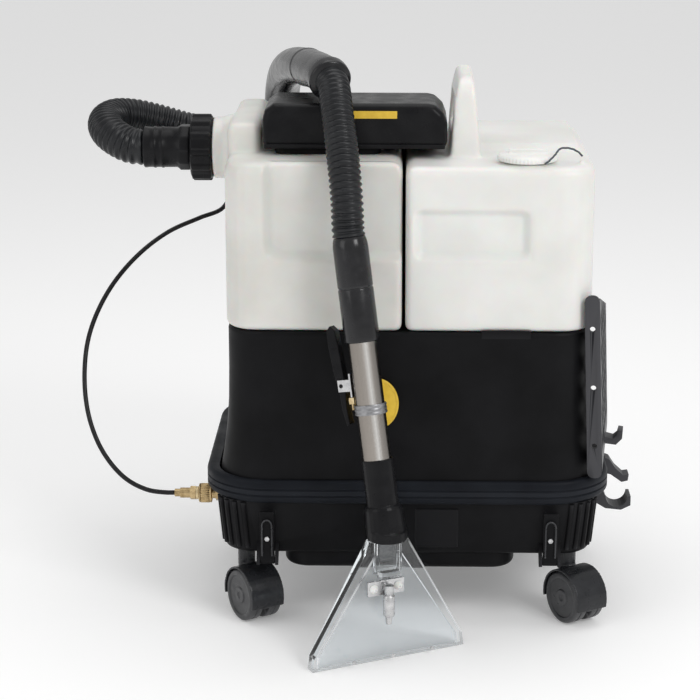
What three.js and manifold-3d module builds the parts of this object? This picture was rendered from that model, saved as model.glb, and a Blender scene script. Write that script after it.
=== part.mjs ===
// Carpet cleaner machine: a spray-extraction cleaner on four casters, with two tanks, a suction
// hose, a solution line and an upholstery wand that stands in front of it.
// Millimetres, +Z up, front towards -Y. The origin is under the middle of the bounding box of
// everything except the hoses, at floor height.
import * as THREE from "three";
import { mergeVertices } from "three/addons/utils/BufferGeometryUtils.js";
import Module from "manifold-3d";

const wasm = await Module();
wasm.setup();

// ---- driving dimensions ----------------------------------------------------------------------

const bodyWidth = 440;
const bodyDepth = 360;
const bodyFoot = 162;
const bodyTop = 376;
const bodyWall = 4;
const bodyCorner = 46;
const footFlare = 14;
const footCorner = 65;

const beltSideReach = 31;
const beltFrontReach = 10;
const beltHeight = 29;
const beltCorner = 82;

const trayHeight = 69;
const trayWall = 5;
const trayCorner = 36;
const sumpDrop = 22;

const tankHeight = 204;
const tankWall = 6;
const tankSplit = -6;
const tankGap = 4;
const tankProud = 2;
const tankSetback = 2;

const wheelRadius = 32.5;
const casterInset = 19;
const casterTrail = 18;
const casterYaw = THREE.MathUtils.degToRad(-57);

const portHeight = 194;
const portBore = 42;
const hoseDiameter = 46;
const frontHoseDiameter = 39;
const lineDiameter = 6;
const tetherDiameter = 2.4;

const nozzleWidth = 202;
const nozzleHeight = 150;
const nozzleThickness = 15;
const wandYaw = THREE.MathUtils.degToRad(27);
const wandLean = THREE.MathUtils.degToRad(12.2);
const wandRoll = THREE.MathUtils.degToRad(-2.1);
const wandStand = new THREE.Vector3(-24, -280, 0);
const tubeDiameter = 34.5;
const gripDiameter = 42;

// clearances
const seam = 0.4;
const running = 0.35;

// ---- values worked out from them ---------------------------------------------------------------

const halfWidth = bodyWidth / 2;
const halfDepth = bodyDepth / 2;
const trayTop = bodyFoot - seam;
const trayFloor = trayTop - trayHeight;
const beltFoot = bodyFoot - seam;
const beltTop = beltFoot + beltHeight;
const beltHalfX = halfWidth + beltSideReach;
const beltHalfY = halfDepth + beltFrontReach;
const tankFoot = bodyTop + seam;
const tankTop = tankFoot + tankHeight;
const tankFront = -halfDepth + tankSetback;
const tankBack = halfDepth - 8;
const portZ = tankFoot + portHeight;

// ---- materials ---------------------------------------------------------------------------------

const finish = (color, roughness, metalness = 0, extra = {}) =>
  new THREE.MeshStandardMaterial({ color, roughness, metalness, ...extra });
const blackPlastic = finish(0x1b1b1c, 0.5);
const beltPlastic = finish(0x24272b, 0.55);
const charcoalPlastic = finish(0x2b2c2e, 0.35);
const tankPlastic = finish(0xe9e7e1, 0.42);
const whitePlastic = finish(0xeeeeea, 0.45);
const yellowPlastic = finish(0xe0b21c, 0.4);
const rubber = finish(0x141414, 0.8);
const brass = finish(0xb08a4a, 0.35, 1);
const steel = finish(0xb9bab8, 0.3, 1);
const motorMetal = finish(0x8d9094, 0.4, 1);
const clearPlastic = finish(0xe6eef2, 0.08, 0, { transparent: true, opacity: 0.4 });

// ---- solids ------------------------------------------------------------------------------------

function solid(geometry) {
  const bare = geometry.index ? geometry.toNonIndexed() : geometry.clone();
  bare.deleteAttribute("normal");
  bare.deleteAttribute("uv");
  const merged = mergeVertices(bare, 1e-4);
  const corners = merged.index.array;
  const kept = [];
  for (let i = 0; i < corners.length; i += 3) {
    const [a, b, c] = [corners[i], corners[i + 1], corners[i + 2]];
    if (a !== b && b !== c && c !== a) {
      kept.push(a, b, c);
    }
  }
  return new wasm.Manifold(new wasm.Mesh({
    numProp: 3,
    vertProperties: Float32Array.from(merged.attributes.position.array),
    triVerts: Uint32Array.from(kept),
  }));
}

function geometryOf(shape) {
  const mesh = shape.getMesh();
  const geometry = new THREE.BufferGeometry();
  geometry.setAttribute("position", new THREE.BufferAttribute(mesh.vertProperties, 3));
  geometry.setIndex(new THREE.BufferAttribute(mesh.triVerts, 1));
  geometry.computeVertexNormals();
  return geometry;
}

const join = (...shapes) => shapes.reduce((sum, shape) => sum.add(shape));
const cut = (base, ...tools) => tools.reduce((rest, tool) => rest.subtract(tool), base);

// A closed outline with rounded corners, counter-clockwise. radii: [+x+y, -x+y, -x-y, +x-y].
function roundedOutline(x0, x1, y0, y1, radii, arcSteps = 5) {
  const corners = [
    [x1, y1, -1, -1, 0],
    [x0, y1, 1, -1, 90],
    [x0, y0, 1, 1, 180],
    [x1, y0, -1, 1, 270],
  ];
  return corners.flatMap(([x, y, inX, inY, startDegrees], corner) => {
    const radius = Math.max(radii[corner], 0.5);
    return Array.from({ length: arcSteps + 1 }, (_, step) => {
      const angle = THREE.MathUtils.degToRad(startDegrees + (90 * step) / arcSteps);
      return new THREE.Vector2(
        x + inX * radius + radius * Math.cos(angle),
        y + inY * radius + radius * Math.sin(angle),
      );
    });
  });
}

// A closed skin through convex outlines at rising heights.
function loft(sections) {
  const count = sections[0].outline.length;
  const positions = sections.flatMap(({ outline, z }) => outline.flatMap((point) => [point.x, point.y, z]));
  const index = [];
  for (let ring = 0; ring < sections.length - 1; ring += 1) {
    for (let side = 0; side < count; side += 1) {
      const low = ring * count + side;
      const lowNext = ring * count + ((side + 1) % count);
      index.push(low, lowNext, lowNext + count, low, lowNext + count, low + count);
    }
  }
  const last = (sections.length - 1) * count;
  for (let side = 1; side < count - 1; side += 1) {
    index.push(0, side + 1, side);
    index.push(last, last + side, last + side + 1);
  }
  const geometry = new THREE.BufferGeometry();
  geometry.setAttribute("position", new THREE.Float32BufferAttribute(positions, 3));
  geometry.setIndex(index);
  return geometry;
}

// An upright block with rounded upright corners and, if asked, rounded top and bottom rims.
function block({ x, y, z, corner = 0.5, radii, topRim = 0, footRim = 0, arcSteps = 5, rimSteps = 2 }) {
  const corners = radii ?? [corner, corner, corner, corner];
  const levels = [];
  for (let step = 0; step < rimSteps && footRim > 0; step += 1) {
    const angle = (Math.PI / 2) * (step / rimSteps);
    levels.push([footRim * (1 - Math.sin(angle)), z[0] + footRim * (1 - Math.cos(angle))]);
  }
  levels.push([0, z[0] + footRim], [0, z[1] - topRim]);
  for (let step = 1; step <= rimSteps && topRim > 0; step += 1) {
    const angle = (Math.PI / 2) * (step / rimSteps);
    levels.push([topRim * (1 - Math.cos(angle)), z[1] - topRim + topRim * Math.sin(angle)]);
  }
  return solid(loft(levels.map(([inset, height]) => ({
    z: height,
    outline: roundedOutline(
      x[0] + inset, x[1] - inset, y[0] + inset, y[1] - inset,
      corners.map((radius) => radius - inset), arcSteps,
    ),
  }))));
}

const box = (x, y, z) => {
  const geometry = new THREE.BoxGeometry(x[1] - x[0], y[1] - y[0], z[1] - z[0]);
  geometry.translate((x[0] + x[1]) / 2, (y[0] + y[1]) / 2, (z[0] + z[1]) / 2);
  return solid(geometry);
};

// A round bar from one height to another along an axis: "x", "y" or "z".
function bar(radius, from, to, axis = "z", centre = [0, 0], sides = 20) {
  const geometry = new THREE.CylinderGeometry(radius, radius, to - from, sides);
  geometry.translate(0, (from + to) / 2, 0);
  if (axis === "z") {
    geometry.rotateX(Math.PI / 2);
    geometry.translate(centre[0], centre[1], 0);
  } else if (axis === "x") {
    geometry.rotateZ(-Math.PI / 2);
    geometry.translate(0, centre[0], centre[1]);
  } else {
    geometry.translate(centre[0], 0, centre[1]);
  }
  return solid(geometry);
}

// A turned piece: [radius, height] pairs, starting and ending on the axis, turned about +Z.
function turned(profile, sides = 24) {
  const geometry = new THREE.LatheGeometry(profile.map(([radius, height]) => new THREE.Vector2(radius, height)), sides);
  geometry.rotateX(Math.PI / 2);
  return solid(geometry);
}

function shapeOf(points) {
  return new THREE.Shape(points.map(([x, y]) => new THREE.Vector2(x, y)));
}

// A flat outline in the X-Z plane, running from y[0] to y[1].
function slabAlongY(shape, y, bevel = 0) {
  const geometry = new THREE.ExtrudeGeometry(shape, {
    depth: y[1] - y[0] - 2 * bevel,
    bevelEnabled: bevel > 0,
    bevelThickness: bevel,
    bevelSize: bevel,
    bevelOffset: -bevel,
    bevelSegments: 3,
    curveSegments: 6,
  });
  geometry.rotateX(Math.PI / 2);
  geometry.translate(0, y[1] - bevel, 0);
  return solid(geometry);
}

// A flat outline in the Y-Z plane, running from x[0] to x[1].
function slabAlongX(shape, x, bevel = 0, curveSegments = 6) {
  const geometry = new THREE.ExtrudeGeometry(shape, {
    depth: x[1] - x[0] - 2 * bevel,
    bevelEnabled: bevel > 0,
    bevelThickness: bevel,
    bevelSize: bevel,
    bevelOffset: -bevel,
    bevelSegments: 3,
    curveSegments,
  });
  geometry.rotateZ(Math.PI / 2);
  geometry.rotateY(Math.PI / 2);
  geometry.translate(x[0] + bevel, 0, 0);
  return solid(geometry);
}

// A round section carried along a route of chosen points.
function sweep(points, diameter, steps, sides = 12) {
  const section = new THREE.Shape(Array.from({ length: sides }, (_, side) => {
    const angle = (2 * Math.PI * side) / sides;
    return new THREE.Vector2((diameter / 2) * Math.cos(angle), (diameter / 2) * Math.sin(angle));
  }));
  const route = new THREE.CatmullRomCurve3(points.map(([x, y, z]) => new THREE.Vector3(x, y, z)), false, "centripetal");
  return new THREE.ExtrudeGeometry(section, { steps, extrudePath: route, curveSegments: 1 });
}

const machine = new THREE.Group();

function addTo(group, name, shape, material) {
  const geometry = shape.isBufferGeometry ? shape : geometryOf(shape);
  const mesh = new THREE.Mesh(geometry, material);
  mesh.name = name;
  group.add(mesh);
  return mesh;
}

const add = (name, shape, material) => addTo(machine, name, shape, material);

// ---- housing, belt and tray --------------------------------------------------------------------

const housingLevels = [
  [0, 1, footCorner],
  [24, 0.93, footCorner - 2],
  [50, 0.6, footCorner - 8],
  [85, 0.25, bodyCorner + 5],
  [120, 0.06, bodyCorner + 1],
  [bodyTop - bodyFoot - 8, 0, bodyCorner],
  [bodyTop - bodyFoot - 2.5, -0.1, bodyCorner - 1],
  [bodyTop - bodyFoot, -0.3, bodyCorner - 4],
];
const frontFlareShare = 0.3;

function housingSkin(inset, foot, top) {
  const levels = housingLevels.map(([rise, flare, corner]) => ({
    z: bodyFoot + rise,
    outline: roundedOutline(
      -halfWidth - footFlare * flare + inset, halfWidth + footFlare * flare - inset,
      -halfDepth - footFlare * flare * frontFlareShare + inset, halfDepth + footFlare * flare * frontFlareShare - inset,
      [corner - inset, corner - inset, corner - inset, corner - inset], 6,
    ),
  }));
  levels[0].z = foot;
  levels[levels.length - 1].z = top;
  return solid(loft(levels));
}

const ductX = 33;
const ductY = [88, 160];
const ductWall = 3;
const grilleX = [-150, -50];
const grilleZ = [bodyFoot + 76, bodyFoot + 150];
const switchX = [50, 150];
const switchZ = [bodyFoot + 82, bodyFoot + 142];
const rimTabX = [88, 147];
const deckThickness = 5;

function bodyHousing() {
  const shell = cut(
    housingSkin(0, bodyFoot, bodyTop),
    housingSkin(bodyWall, bodyFoot - 1, bodyTop - deckThickness),
  );
  const rimTab = box(rimTabX, [-halfDepth - 1, -halfDepth + tankSetback - seam], [bodyTop - 6, bodyTop + 3]);
  const backWall = [halfDepth - 20, halfDepth + 20];
  return cut(
    join(shell, rimTab),
    box([-ductX - seam, ductX + seam], [ductY[0] - seam, ductY[1] + seam], [bodyTop - 20, bodyTop + 20]),
    box(grilleX, backWall, grilleZ),
    box(switchX, backWall, switchZ),
  );
}

const beltGrooves = [[9, 1.6], [17, 1.6]];

function bumperBelt() {
  const levels = [[0, 4], [2, 1], [4, 0]];
  beltGrooves.forEach(([rise, depth]) => levels.push([rise - 1, 0], [rise, depth], [rise + 1, 0]));
  levels.push([beltHeight - 5, 0], [beltHeight - 1.5, 2], [beltHeight, 5]);
  const outer = solid(loft(levels.map(([rise, inset]) => ({
    z: beltFoot + rise,
    outline: roundedOutline(
      -beltHalfX + inset, beltHalfX - inset, -beltHalfY + inset * 0.6, beltHalfY - inset * 0.6,
      Array(4).fill(beltCorner - inset), 7,
    ),
  }))));
  const clearance = footFlare + seam + 0.6;
  const innerY = halfDepth + footFlare * frontFlareShare + seam + 0.2;
  const inner = block({
    x: [-halfWidth - clearance, halfWidth + clearance],
    y: [-innerY, innerY],
    z: [beltFoot - 1, beltTop + 1],
    corner: footCorner,
    arcSteps: 7,
  });
  return cut(outer, inner);
}

const trayHalfX = halfWidth + footFlare - 1;
const trayHalfY = halfDepth;
const trayDraft = 6;
const sumpX = [-halfWidth + 68, halfWidth - 86];
const sumpInset = 12;
const casterX = halfWidth - casterInset;
const casterY = halfDepth - 40;
const socketRadius = 9.5;
const socketDepth = 34;
const latchX = [-172, 176];
const latchWidth = 18;
const latchPivotZ = trayFloor - 6;
const latchPivotY = -trayHalfY - 7;
const trunnionRadius = 2.6;
const earThickness = 4;
const couplerY = -100;
const couplerZ = trayTop - 17;

const casterSpots = [
  ["front_left", -1, -1],
  ["front_right", 1, -1],
  ["rear_left", -1, 1],
  ["rear_right", 1, 1],
];

function trayShell(inset, foot, top) {
  const halfAt = (rise, half) => half - trayDraft * (1 - rise / trayHeight) - inset;
  const levels = [[0, 4], [5, 0], [trayHeight, 0]];
  return levels.map(([rise, rim], level) => ({
    z: level === 0 ? foot : level === levels.length - 1 ? top : trayFloor + rise + (inset ? trayWall : 0),
    outline: roundedOutline(
      -halfAt(rise, trayHalfX) + rim, halfAt(rise, trayHalfX) - rim,
      -halfAt(rise, trayHalfY) + rim, halfAt(rise, trayHalfY) - rim,
      Array(4).fill(trayCorner - inset - rim), 5,
    ),
  }));
}

function latchEars(x) {
  const outline = shapeOf([
    [-trayHalfY + 9, latchPivotZ + 10],
    [-trayHalfY + 9, latchPivotZ + 26],
    [latchPivotY, latchPivotZ + 10],
    [latchPivotY - 5, latchPivotZ + 4],
    [latchPivotY - 5, latchPivotZ - 4],
    [latchPivotY, latchPivotZ - 6],
    [latchPivotY + 6, latchPivotZ - 2],
  ]);
  return [-1, 1].map((side) => {
    const near = x + side * (latchWidth / 2 + running);
    const far = near + side * earThickness;
    const ear = slabAlongX(outline, [Math.min(near, far), Math.max(near, far)]);
    const pivot = bar(trunnionRadius + running, Math.min(near, far) - 1, Math.max(near, far) + 1, "x",
      [latchPivotY, latchPivotZ], 16);
    return ear.subtract(pivot);
  });
}

const sumpY = (inset) => [-trayHalfY + inset, trayHalfY - inset];

function baseTray() {
  const sumpFloor = trayFloor - sumpDrop;
  const outer = join(
    solid(loft(trayShell(0, trayFloor, trayTop))),
    block({ x: sumpX, y: sumpY(sumpInset), z: [sumpFloor, trayFloor + 6], corner: 30, footRim: 8 }),
  );
  const inner = join(
    solid(loft(trayShell(trayWall, trayFloor + trayWall, trayTop + 1))),
    block({
      x: [sumpX[0] + trayWall, sumpX[1] - trayWall],
      y: sumpY(sumpInset + trayWall),
      z: [sumpFloor + trayWall, trayFloor + 8],
      corner: 25,
    }),
  );
  const bossTop = trayFloor + socketDepth + 6;
  const bosses = casterSpots.map(([, sideX, sideY]) =>
    bar(socketRadius + 6, trayFloor + 1, bossTop, "z", [sideX * casterX, sideY * casterY], 14));
  const sockets = casterSpots.map(([, sideX, sideY]) =>
    bar(socketRadius + running, trayFloor - 5, trayFloor + socketDepth + seam, "z",
      [sideX * casterX, sideY * casterY], 14));
  const ears = latchX.flatMap((x) => latchEars(x));
  const couplerHole = bar(9, -halfWidth - 20, -trayHalfX + 20, "x", [couplerY, couplerZ], 20);
  return cut(join(outer.subtract(inner), ...bosses, ...ears), ...sockets, couplerHole);
}

const plateThickness = 3;

function deckPlate() {
  const reachX = trayHalfX - trayWall + 1;
  const reachY = trayHalfY - trayWall + 2;
  return block({
    x: [-reachX, reachX],
    y: [-reachY, reachY],
    z: [trayTop + seam, trayTop + seam + plateThickness],
    corner: footCorner - 2,
  });
}

// ---- suction motor, pump and duct --------------------------------------------------------------

const deckTop = trayTop + seam + plateThickness;
const motorX = 0;
const motorY = 98;
const motorHeight = 168;
const fanRadius = 70;
const ductFoot = deckTop + seam + motorHeight + seam;

function vacuumMotor() {
  const profile = [
    [0, 0], [34, 0], [40, 5], [40, 22], [48, 26], [48, 104], [56, 108], [fanRadius, 112],
    [fanRadius, 138], [fanRadius - 2, 140], [fanRadius, 142], [fanRadius, 162], [fanRadius - 4, motorHeight],
    [26, motorHeight], [26, motorHeight - 26], [0, motorHeight - 26],
  ];
  return turned(profile);
}

function suctionDuct() {
  const top = tankTop + 5;
  const outer = block({ x: [-ductX, ductX], y: ductY, z: [ductFoot, top], corner: 8, arcSteps: 3 });
  const inner = block({
    x: [-ductX + ductWall, ductX - ductWall],
    y: [ductY[0] + ductWall, ductY[1] - ductWall],
    z: [ductFoot - 1, top + 1],
    corner: 5,
    arcSteps: 3,
  });
  return outer.subtract(inner);
}

function pump() {
  const centre = [-30, 40];
  return join(
    bar(30, -52, 48, "x", [centre[0], centre[1]], 24),
    box([44, 84], [centre[0] - 33, centre[0] + 33], [centre[1] - 33, centre[1] + 33]),
    bar(9, 60, 104, "x", [centre[0] + 16, centre[1] + 10], 16),
    bar(9, 60, 104, "x", [centre[0] - 16, centre[1] + 10], 16),
    box([-40, 30], [centre[0] - 26, centre[0] + 26], [0, centre[1] - 20]),
  );
}

// ---- back panel pieces -------------------------------------------------------------------------

const backFace = halfDepth + footFlare * frontFlareShare * 0.45;

function exhaustGrille() {
  const border = 8;
  const outline = new THREE.Shape(roundedOutline(
    grilleX[0] - border, grilleX[1] + border, grilleZ[0] - border, grilleZ[1] + border, Array(4).fill(8), 3,
  ));
  const slots = 7;
  const pitch = (grilleZ[1] - grilleZ[0]) / slots;
  for (let slot = 0; slot < slots; slot += 1) {
    const low = grilleZ[0] + slot * pitch + pitch * 0.25;
    outline.holes.push(new THREE.Path(roundedOutline(
      grilleX[0] + 4, grilleX[1] - 4, low, low + pitch * 0.5, Array(4).fill(2.5), 2,
    )));
  }
  return slabAlongY(outline, [backFace + seam, backFace + seam + 4]);
}

const rockerX = [78, 112];
const rockerSize = [20, 28];
const rockerZ = switchZ[0] + 30;
const rockerTilt = THREE.MathUtils.degToRad(8);
const switchFace = backFace + seam + 4;

function switchPlate() {
  const border = 8;
  const outline = new THREE.Shape(roundedOutline(
    switchX[0] - border, switchX[1] + border, switchZ[0] - border, switchZ[1] + border, Array(4).fill(8), 3,
  ));
  rockerX.forEach((x) => outline.holes.push(new THREE.Path(roundedOutline(
    x - rockerSize[0] / 2 - 1, x + rockerSize[0] / 2 + 1, rockerZ - rockerSize[1] / 2 - 1.4, rockerZ + rockerSize[1] / 2 + 1.4,
    Array(4).fill(1.5), 2,
  ))));
  return slabAlongY(outline, [backFace + seam, switchFace]);
}

function powerInlet() {
  const centreX = 136;
  const centreZ = rockerZ;
  const shroud = box([centreX - 9.5, centreX + 9.5], [switchFace + seam, switchFace + 9], [centreZ - 14, centreZ + 14]);
  const well = box([centreX - 7, centreX + 7], [switchFace + 3, switchFace + 10], [centreZ - 11, centreZ + 11]);
  const blades = [-6, 0, 6].map((rise) =>
    box([centreX - 1.2, centreX + 1.2], [switchFace + 2, switchFace + 8], [centreZ + rise - 1, centreZ + rise + 1]));
  return join(shroud.subtract(well), ...blades);
}

// A rocker, modelled about its own pivot.
function rocker() {
  const [wide, tall] = rockerSize;
  const outline = shapeOf([
    [-5, -tall / 2 + 4], [3.2, -tall / 2], [1.6, 0], [3.2, tall / 2], [-5, tall / 2 - 4], [-9, 0],
  ]);
  return slabAlongX(outline, [-wide / 2, wide / 2]);
}

// ---- recovery tank and suction head ------------------------------------------------------------

const recoveryX = [-halfWidth - tankProud, tankSplit - tankGap / 2];
const solutionX = [tankSplit + tankGap / 2, halfWidth + tankProud + 1];
const outerCorner = 40;
const innerCorner = 8;
const shoulderWidth = 42;
const shoulderRise = 36;
const shoulderY = [-100, 120];
const portY = 0;
const flangeRadius = 39;
const flangeLength = 24;
const neckX = [-155, -67];
const neckY = [-90, -28];
const headFoot = tankTop + 7;

function ductNotch(grow) {
  return box([-ductX - 3 - grow, ductX + 3 + grow], [ductY[0] - 3 - grow, halfDepth + 20], [tankFoot - 1, tankTop + 60]);
}

function recoveryTank() {
  const body = (inset, rise) => block({
    x: [recoveryX[0] + inset, recoveryX[1] - inset],
    y: [tankFront + inset, tankBack - inset],
    z: [tankFoot + inset, tankTop - inset + rise],
    radii: [innerCorner - inset, outerCorner - inset, outerCorner - inset, innerCorner - inset],
    topRim: 12,
    footRim: 6,
  });
  const shoulder = (inset) => block({
    x: [recoveryX[0] + inset, recoveryX[0] + shoulderWidth - inset],
    y: [shoulderY[0] + inset, shoulderY[1] - inset],
    z: [tankTop - 40, tankTop + shoulderRise - inset],
    corner: 12,
    topRim: 10,
  });
  const flange = join(
    bar(flangeRadius, recoveryX[0] - flangeLength, recoveryX[0] + 12, "x", [portY, portZ], 28),
    bar(flangeRadius + 3, recoveryX[0] - 7, recoveryX[0] + 6, "x", [portY, portZ], 28),
  );
  const outer = cut(join(body(0, 0), shoulder(0), flange), ductNotch(0));
  const hollow = join(cut(body(tankWall, 0), ductNotch(tankWall)), shoulder(tankWall));
  const bore = bar(portBore / 2 + 6, recoveryX[0] - flangeLength - 5, recoveryX[0] + 30, "x", [portY, portZ], 28);
  const headHole = box([neckX[0] - 3, neckX[1] + 3], [neckY[0] - 3, neckY[1] + 3], [tankTop - 30, tankTop + 20]);
  const relief = block({
    x: [recoveryX[0] + 50, recoveryX[1] + 20],
    y: [tankFront - 10, tankFront + 2.5],
    z: [tankFoot + 88, tankTop + 20],
    corner: 2,
  });
  return cut(outer, hollow, bore, headHole, relief);
}

const headX = [-178, 46];
const headY = [-116, -6];
const headTop = headFoot + 55;

function suctionHead() {
  const outline = shapeOf([
    [headX[0] + 6, headFoot], [headX[1] - 4, headFoot], [headX[1], headFoot + 8], [headX[1], headFoot + 31],
    [headX[1] - 5, headFoot + 44], [headX[1] - 15, headTop - 2], [headX[1] - 24, headTop],
    [headX[0] + 14, headTop], [headX[0] + 3, headTop - 8], [headX[0], headTop - 20], [headX[0], headFoot + 8],
  ]);
  const cover = slabAlongY(outline, headY, 9);
  const armY = [-30, ductY[1] + 5];
  const arm = block({ x: [-ductX - 3, ductX + 3], y: armY, z: [headFoot, headFoot + 24], corner: 6, topRim: 5, arcSteps: 3 });
  const neck = block({ x: neckX, y: neckY, z: [tankTop - 8, headFoot + 4], corner: 10 });
  const airway = join(
    block({ x: [headX[0] + 8, headX[1] - 10], y: [headY[0] + 8, headY[1] - 8], z: [headFoot + 6, headTop - 8], corner: 6 }),
    box([-ductX + 4, ductX - 4], [headY[1] - 20, ductY[1] - 5], [headFoot + 5, headFoot + 18]),
    box([-ductX + 4, ductX - 4], [ductY[0] + 5, ductY[1] - 5], [headFoot - 5, headFoot + 10]),
    bar(22, tankTop - 20, headFoot + 10, "z", [(neckX[0] + neckX[1]) / 2, (neckY[0] + neckY[1]) / 2], 24),
  );
  return join(cover, arm, neck).subtract(airway);
}

function headGasket() {
  const z = [tankTop + seam, headFoot - seam];
  const outer = block({ x: [neckX[0] - 8, neckX[1] + 32], y: [headY[0] + 6, headY[1] - 4], z, corner: 12 });
  const inner = block({ x: [neckX[0] - seam, neckX[1] + seam], y: [neckY[0] - seam, neckY[1] + seam], z: [z[0] - 1, z[1] + 1], corner: 10 });
  return outer.subtract(inner);
}

const floatX = (neckX[0] + neckX[1]) / 2;
const floatY = (neckY[0] + neckY[1]) / 2;
const cageTop = tankTop - 8 - seam;
const cageHeight = 74;
const ballRadius = 18;
const seatRadius = 14;

function floatCage() {
  const cup = turned([
    [0, 0], [24, 0], [27, 3], [27, cageHeight - 5], [30, cageHeight - 5], [30, cageHeight],
    [seatRadius, cageHeight], [seatRadius, cageHeight - 6], [24.5, cageHeight - 6], [24.5, 3], [0, 3],
  ], 14);
  const windows = [0, 45, 90, 135].map((degrees) => {
    const slot = new THREE.BoxGeometry(70, 9, cageHeight - 28);
    slot.translate(0, 0, cageHeight / 2);
    slot.rotateZ(THREE.MathUtils.degToRad(degrees + 22.5));
    return solid(slot);
  });
  return cut(cup, ...windows);
}

// ---- hose connection ---------------------------------------------------------------------------

const nutRadius = 41.5;
const nutX = [recoveryX[0] - flangeLength - 28, recoveryX[0] - flangeLength - seam];
const cuffRadius = 25.5;
const cuffEnd = nutX[0] - 60;

function ringNut() {
  const body = bar(nutRadius - 2, nutX[0], nutX[1], "x", [portY, portZ], 32);
  const ribs = Array.from({ length: 12 }, (_, rib) => {
    const grip = new THREE.BoxGeometry(nutX[1] - nutX[0] - 6, 9, 6);
    grip.translate((nutX[0] + nutX[1]) / 2, 0, nutRadius - 3);
    grip.rotateX((rib * Math.PI) / 6);
    grip.translate(0, portY, portZ);
    return solid(grip);
  });
  return join(body, ...ribs).subtract(
    bar(cuffRadius + running, nutX[0] - 1, nutX[1] + 1, "x", [portY, portZ], 32),
  );
}

function hoseCuff() {
  const body = bar(cuffRadius, cuffEnd, recoveryX[0] - 4, "x", [portY, portZ], 32);
  const collar = bar(cuffRadius + 3.5, nutX[0] - 16, nutX[0] - 1, "x", [portY, portZ], 12);
  const bore = bar(portBore / 2, cuffEnd + 6, recoveryX[0], "x", [portY, portZ], 24);
  return cut(join(body, collar), bore);
}

// Routes of the soft lines, chosen by hand, from the machine to the wand.
const backHoseRoute = [
  [-334.7, 0, 570.4], [-342, 0, 570.4], [-354, 3, 572.5], [-368, 10, 578], [-381, 24, 584.5], [-388.5, 45, 590.5],
  [-388, 68, 594.5], [-378, 90, 596], [-356, 106, 592.5], [-328, 116, 584.5], [-290, 126, 572], [-252, 153, 560],
  [-221, 186, 549], [-178, 198, 538], [-118, 210, 528], [-60, 226, 520], [0, 240, 513], [62, 244, 503],
  [118, 245, 473], [160, 245, 424], [180, 245, 364], [177, 245, 300], [152, 245, 240], [108, 245, 192],
  [52, 245, 163], [-8, 245, 156], [-66, 245, 170], [-118, 245, 203], [-154, 245, 250], [-172, 245, 308],
  [-176, 246, 370], [-176, 248, 432], [-175, 250, 492], [-174, 250, 530], [-174, 250, 544.6],
];
const elbowRoute = [
  [-174, 250, 545.2], [-174, 250, 556], [-173.5, 246, 578], [-172, 233, 602], [-168.5, 209, 624], [-163, 174, 641],
  [-155, 132, 654], [-145, 84, 663], [-133, 34, 668.5], [-120.5, -14, 671.8], [-108, -59, 673],
  [-98.9, -91.1, 672], [-95, -104, 668.2],
];
const frontHoseRoute = [
  [-94.8, -104.65, 668], [-91.45, -115.7, 664.8], [-89, -131, 656], [-86.5, -149, 641], [-83, -167, 622],
  [-79.2, -186, 598], [-75.8, -203, 571], [-73, -213, 541], [-71.7, -216.7, 512], [-70.6, -218.2, 502.2],
];
const solutionLineRoute = [
  [-294.6, -100, 144.6], [-306, -100, 144.6], [-330, -99, 148], [-358, -95, 162], [-385, -85, 191], [-403, -70, 227],
  [-412, -50, 267], [-412, -25, 313], [-404, 0, 346], [-385, 35, 382], [-355, 75, 414], [-319, 120, 436],
  [-281, 160, 447], [-252, 188, 455], [-241, 206, 474], [-238, 224, 503], [-238, 238, 536], [-233, 246, 559],
  [-222, 249, 571.5], [-211, 249, 575], [-202.8, 249, 575],
];
const capTetherRoute = [
  [160, -170.2, 580.6], [164, -173, 584], [171, -170, 590.5], [180, -152, 596], [192, -147, 595], [201, -145, 590.5],
  [206, -145, 585.6],
];

function hoseElbow() {
  const tube = solid(sweep(elbowRoute, hoseDiameter, 16, 10));
  const end = new THREE.Vector3(...elbowRoute[elbowRoute.length - 1]);
  const before = new THREE.Vector3(...elbowRoute[elbowRoute.length - 2]);
  const heading = end.clone().sub(before).normalize();
  const ring = new THREE.CylinderGeometry(hoseDiameter / 2 + 2.6, hoseDiameter / 2 + 2.6, 9, 20);
  ring.applyQuaternion(new THREE.Quaternion().setFromUnitVectors(new THREE.Vector3(0, 1, 0), heading));
  ring.translate(end.x - heading.x * 5, end.y - heading.y * 5, end.z - heading.z * 5);
  const gland = bar(6, -202, -180, "x", [249, 575], 12);
  return join(tube, solid(ring), gland);
}

const hookZ = 484;

function hoseHook() {
  const plate = box([-24, 24], [tankBack + 10, tankBack + 16], [330, hookZ]);
  const arm = box([-24, 24], [tankBack + 12, 276], [hookZ - 6, hookZ]);
  const lip = box([-24, 24], [271, 276], [hookZ - 4, hookZ + 26]);
  return join(plate, arm, lip);
}

// ---- solution tank -----------------------------------------------------------------------------

const handleX = [46, 90];
const handleTop = tankTop + 92;
const fillerX = 141;
const fillerY = -138;
const fillerBore = 29;
const capRadius = 35.5;
const crownRise = 6;
const frontLedge = tankTop - 4;

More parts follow.
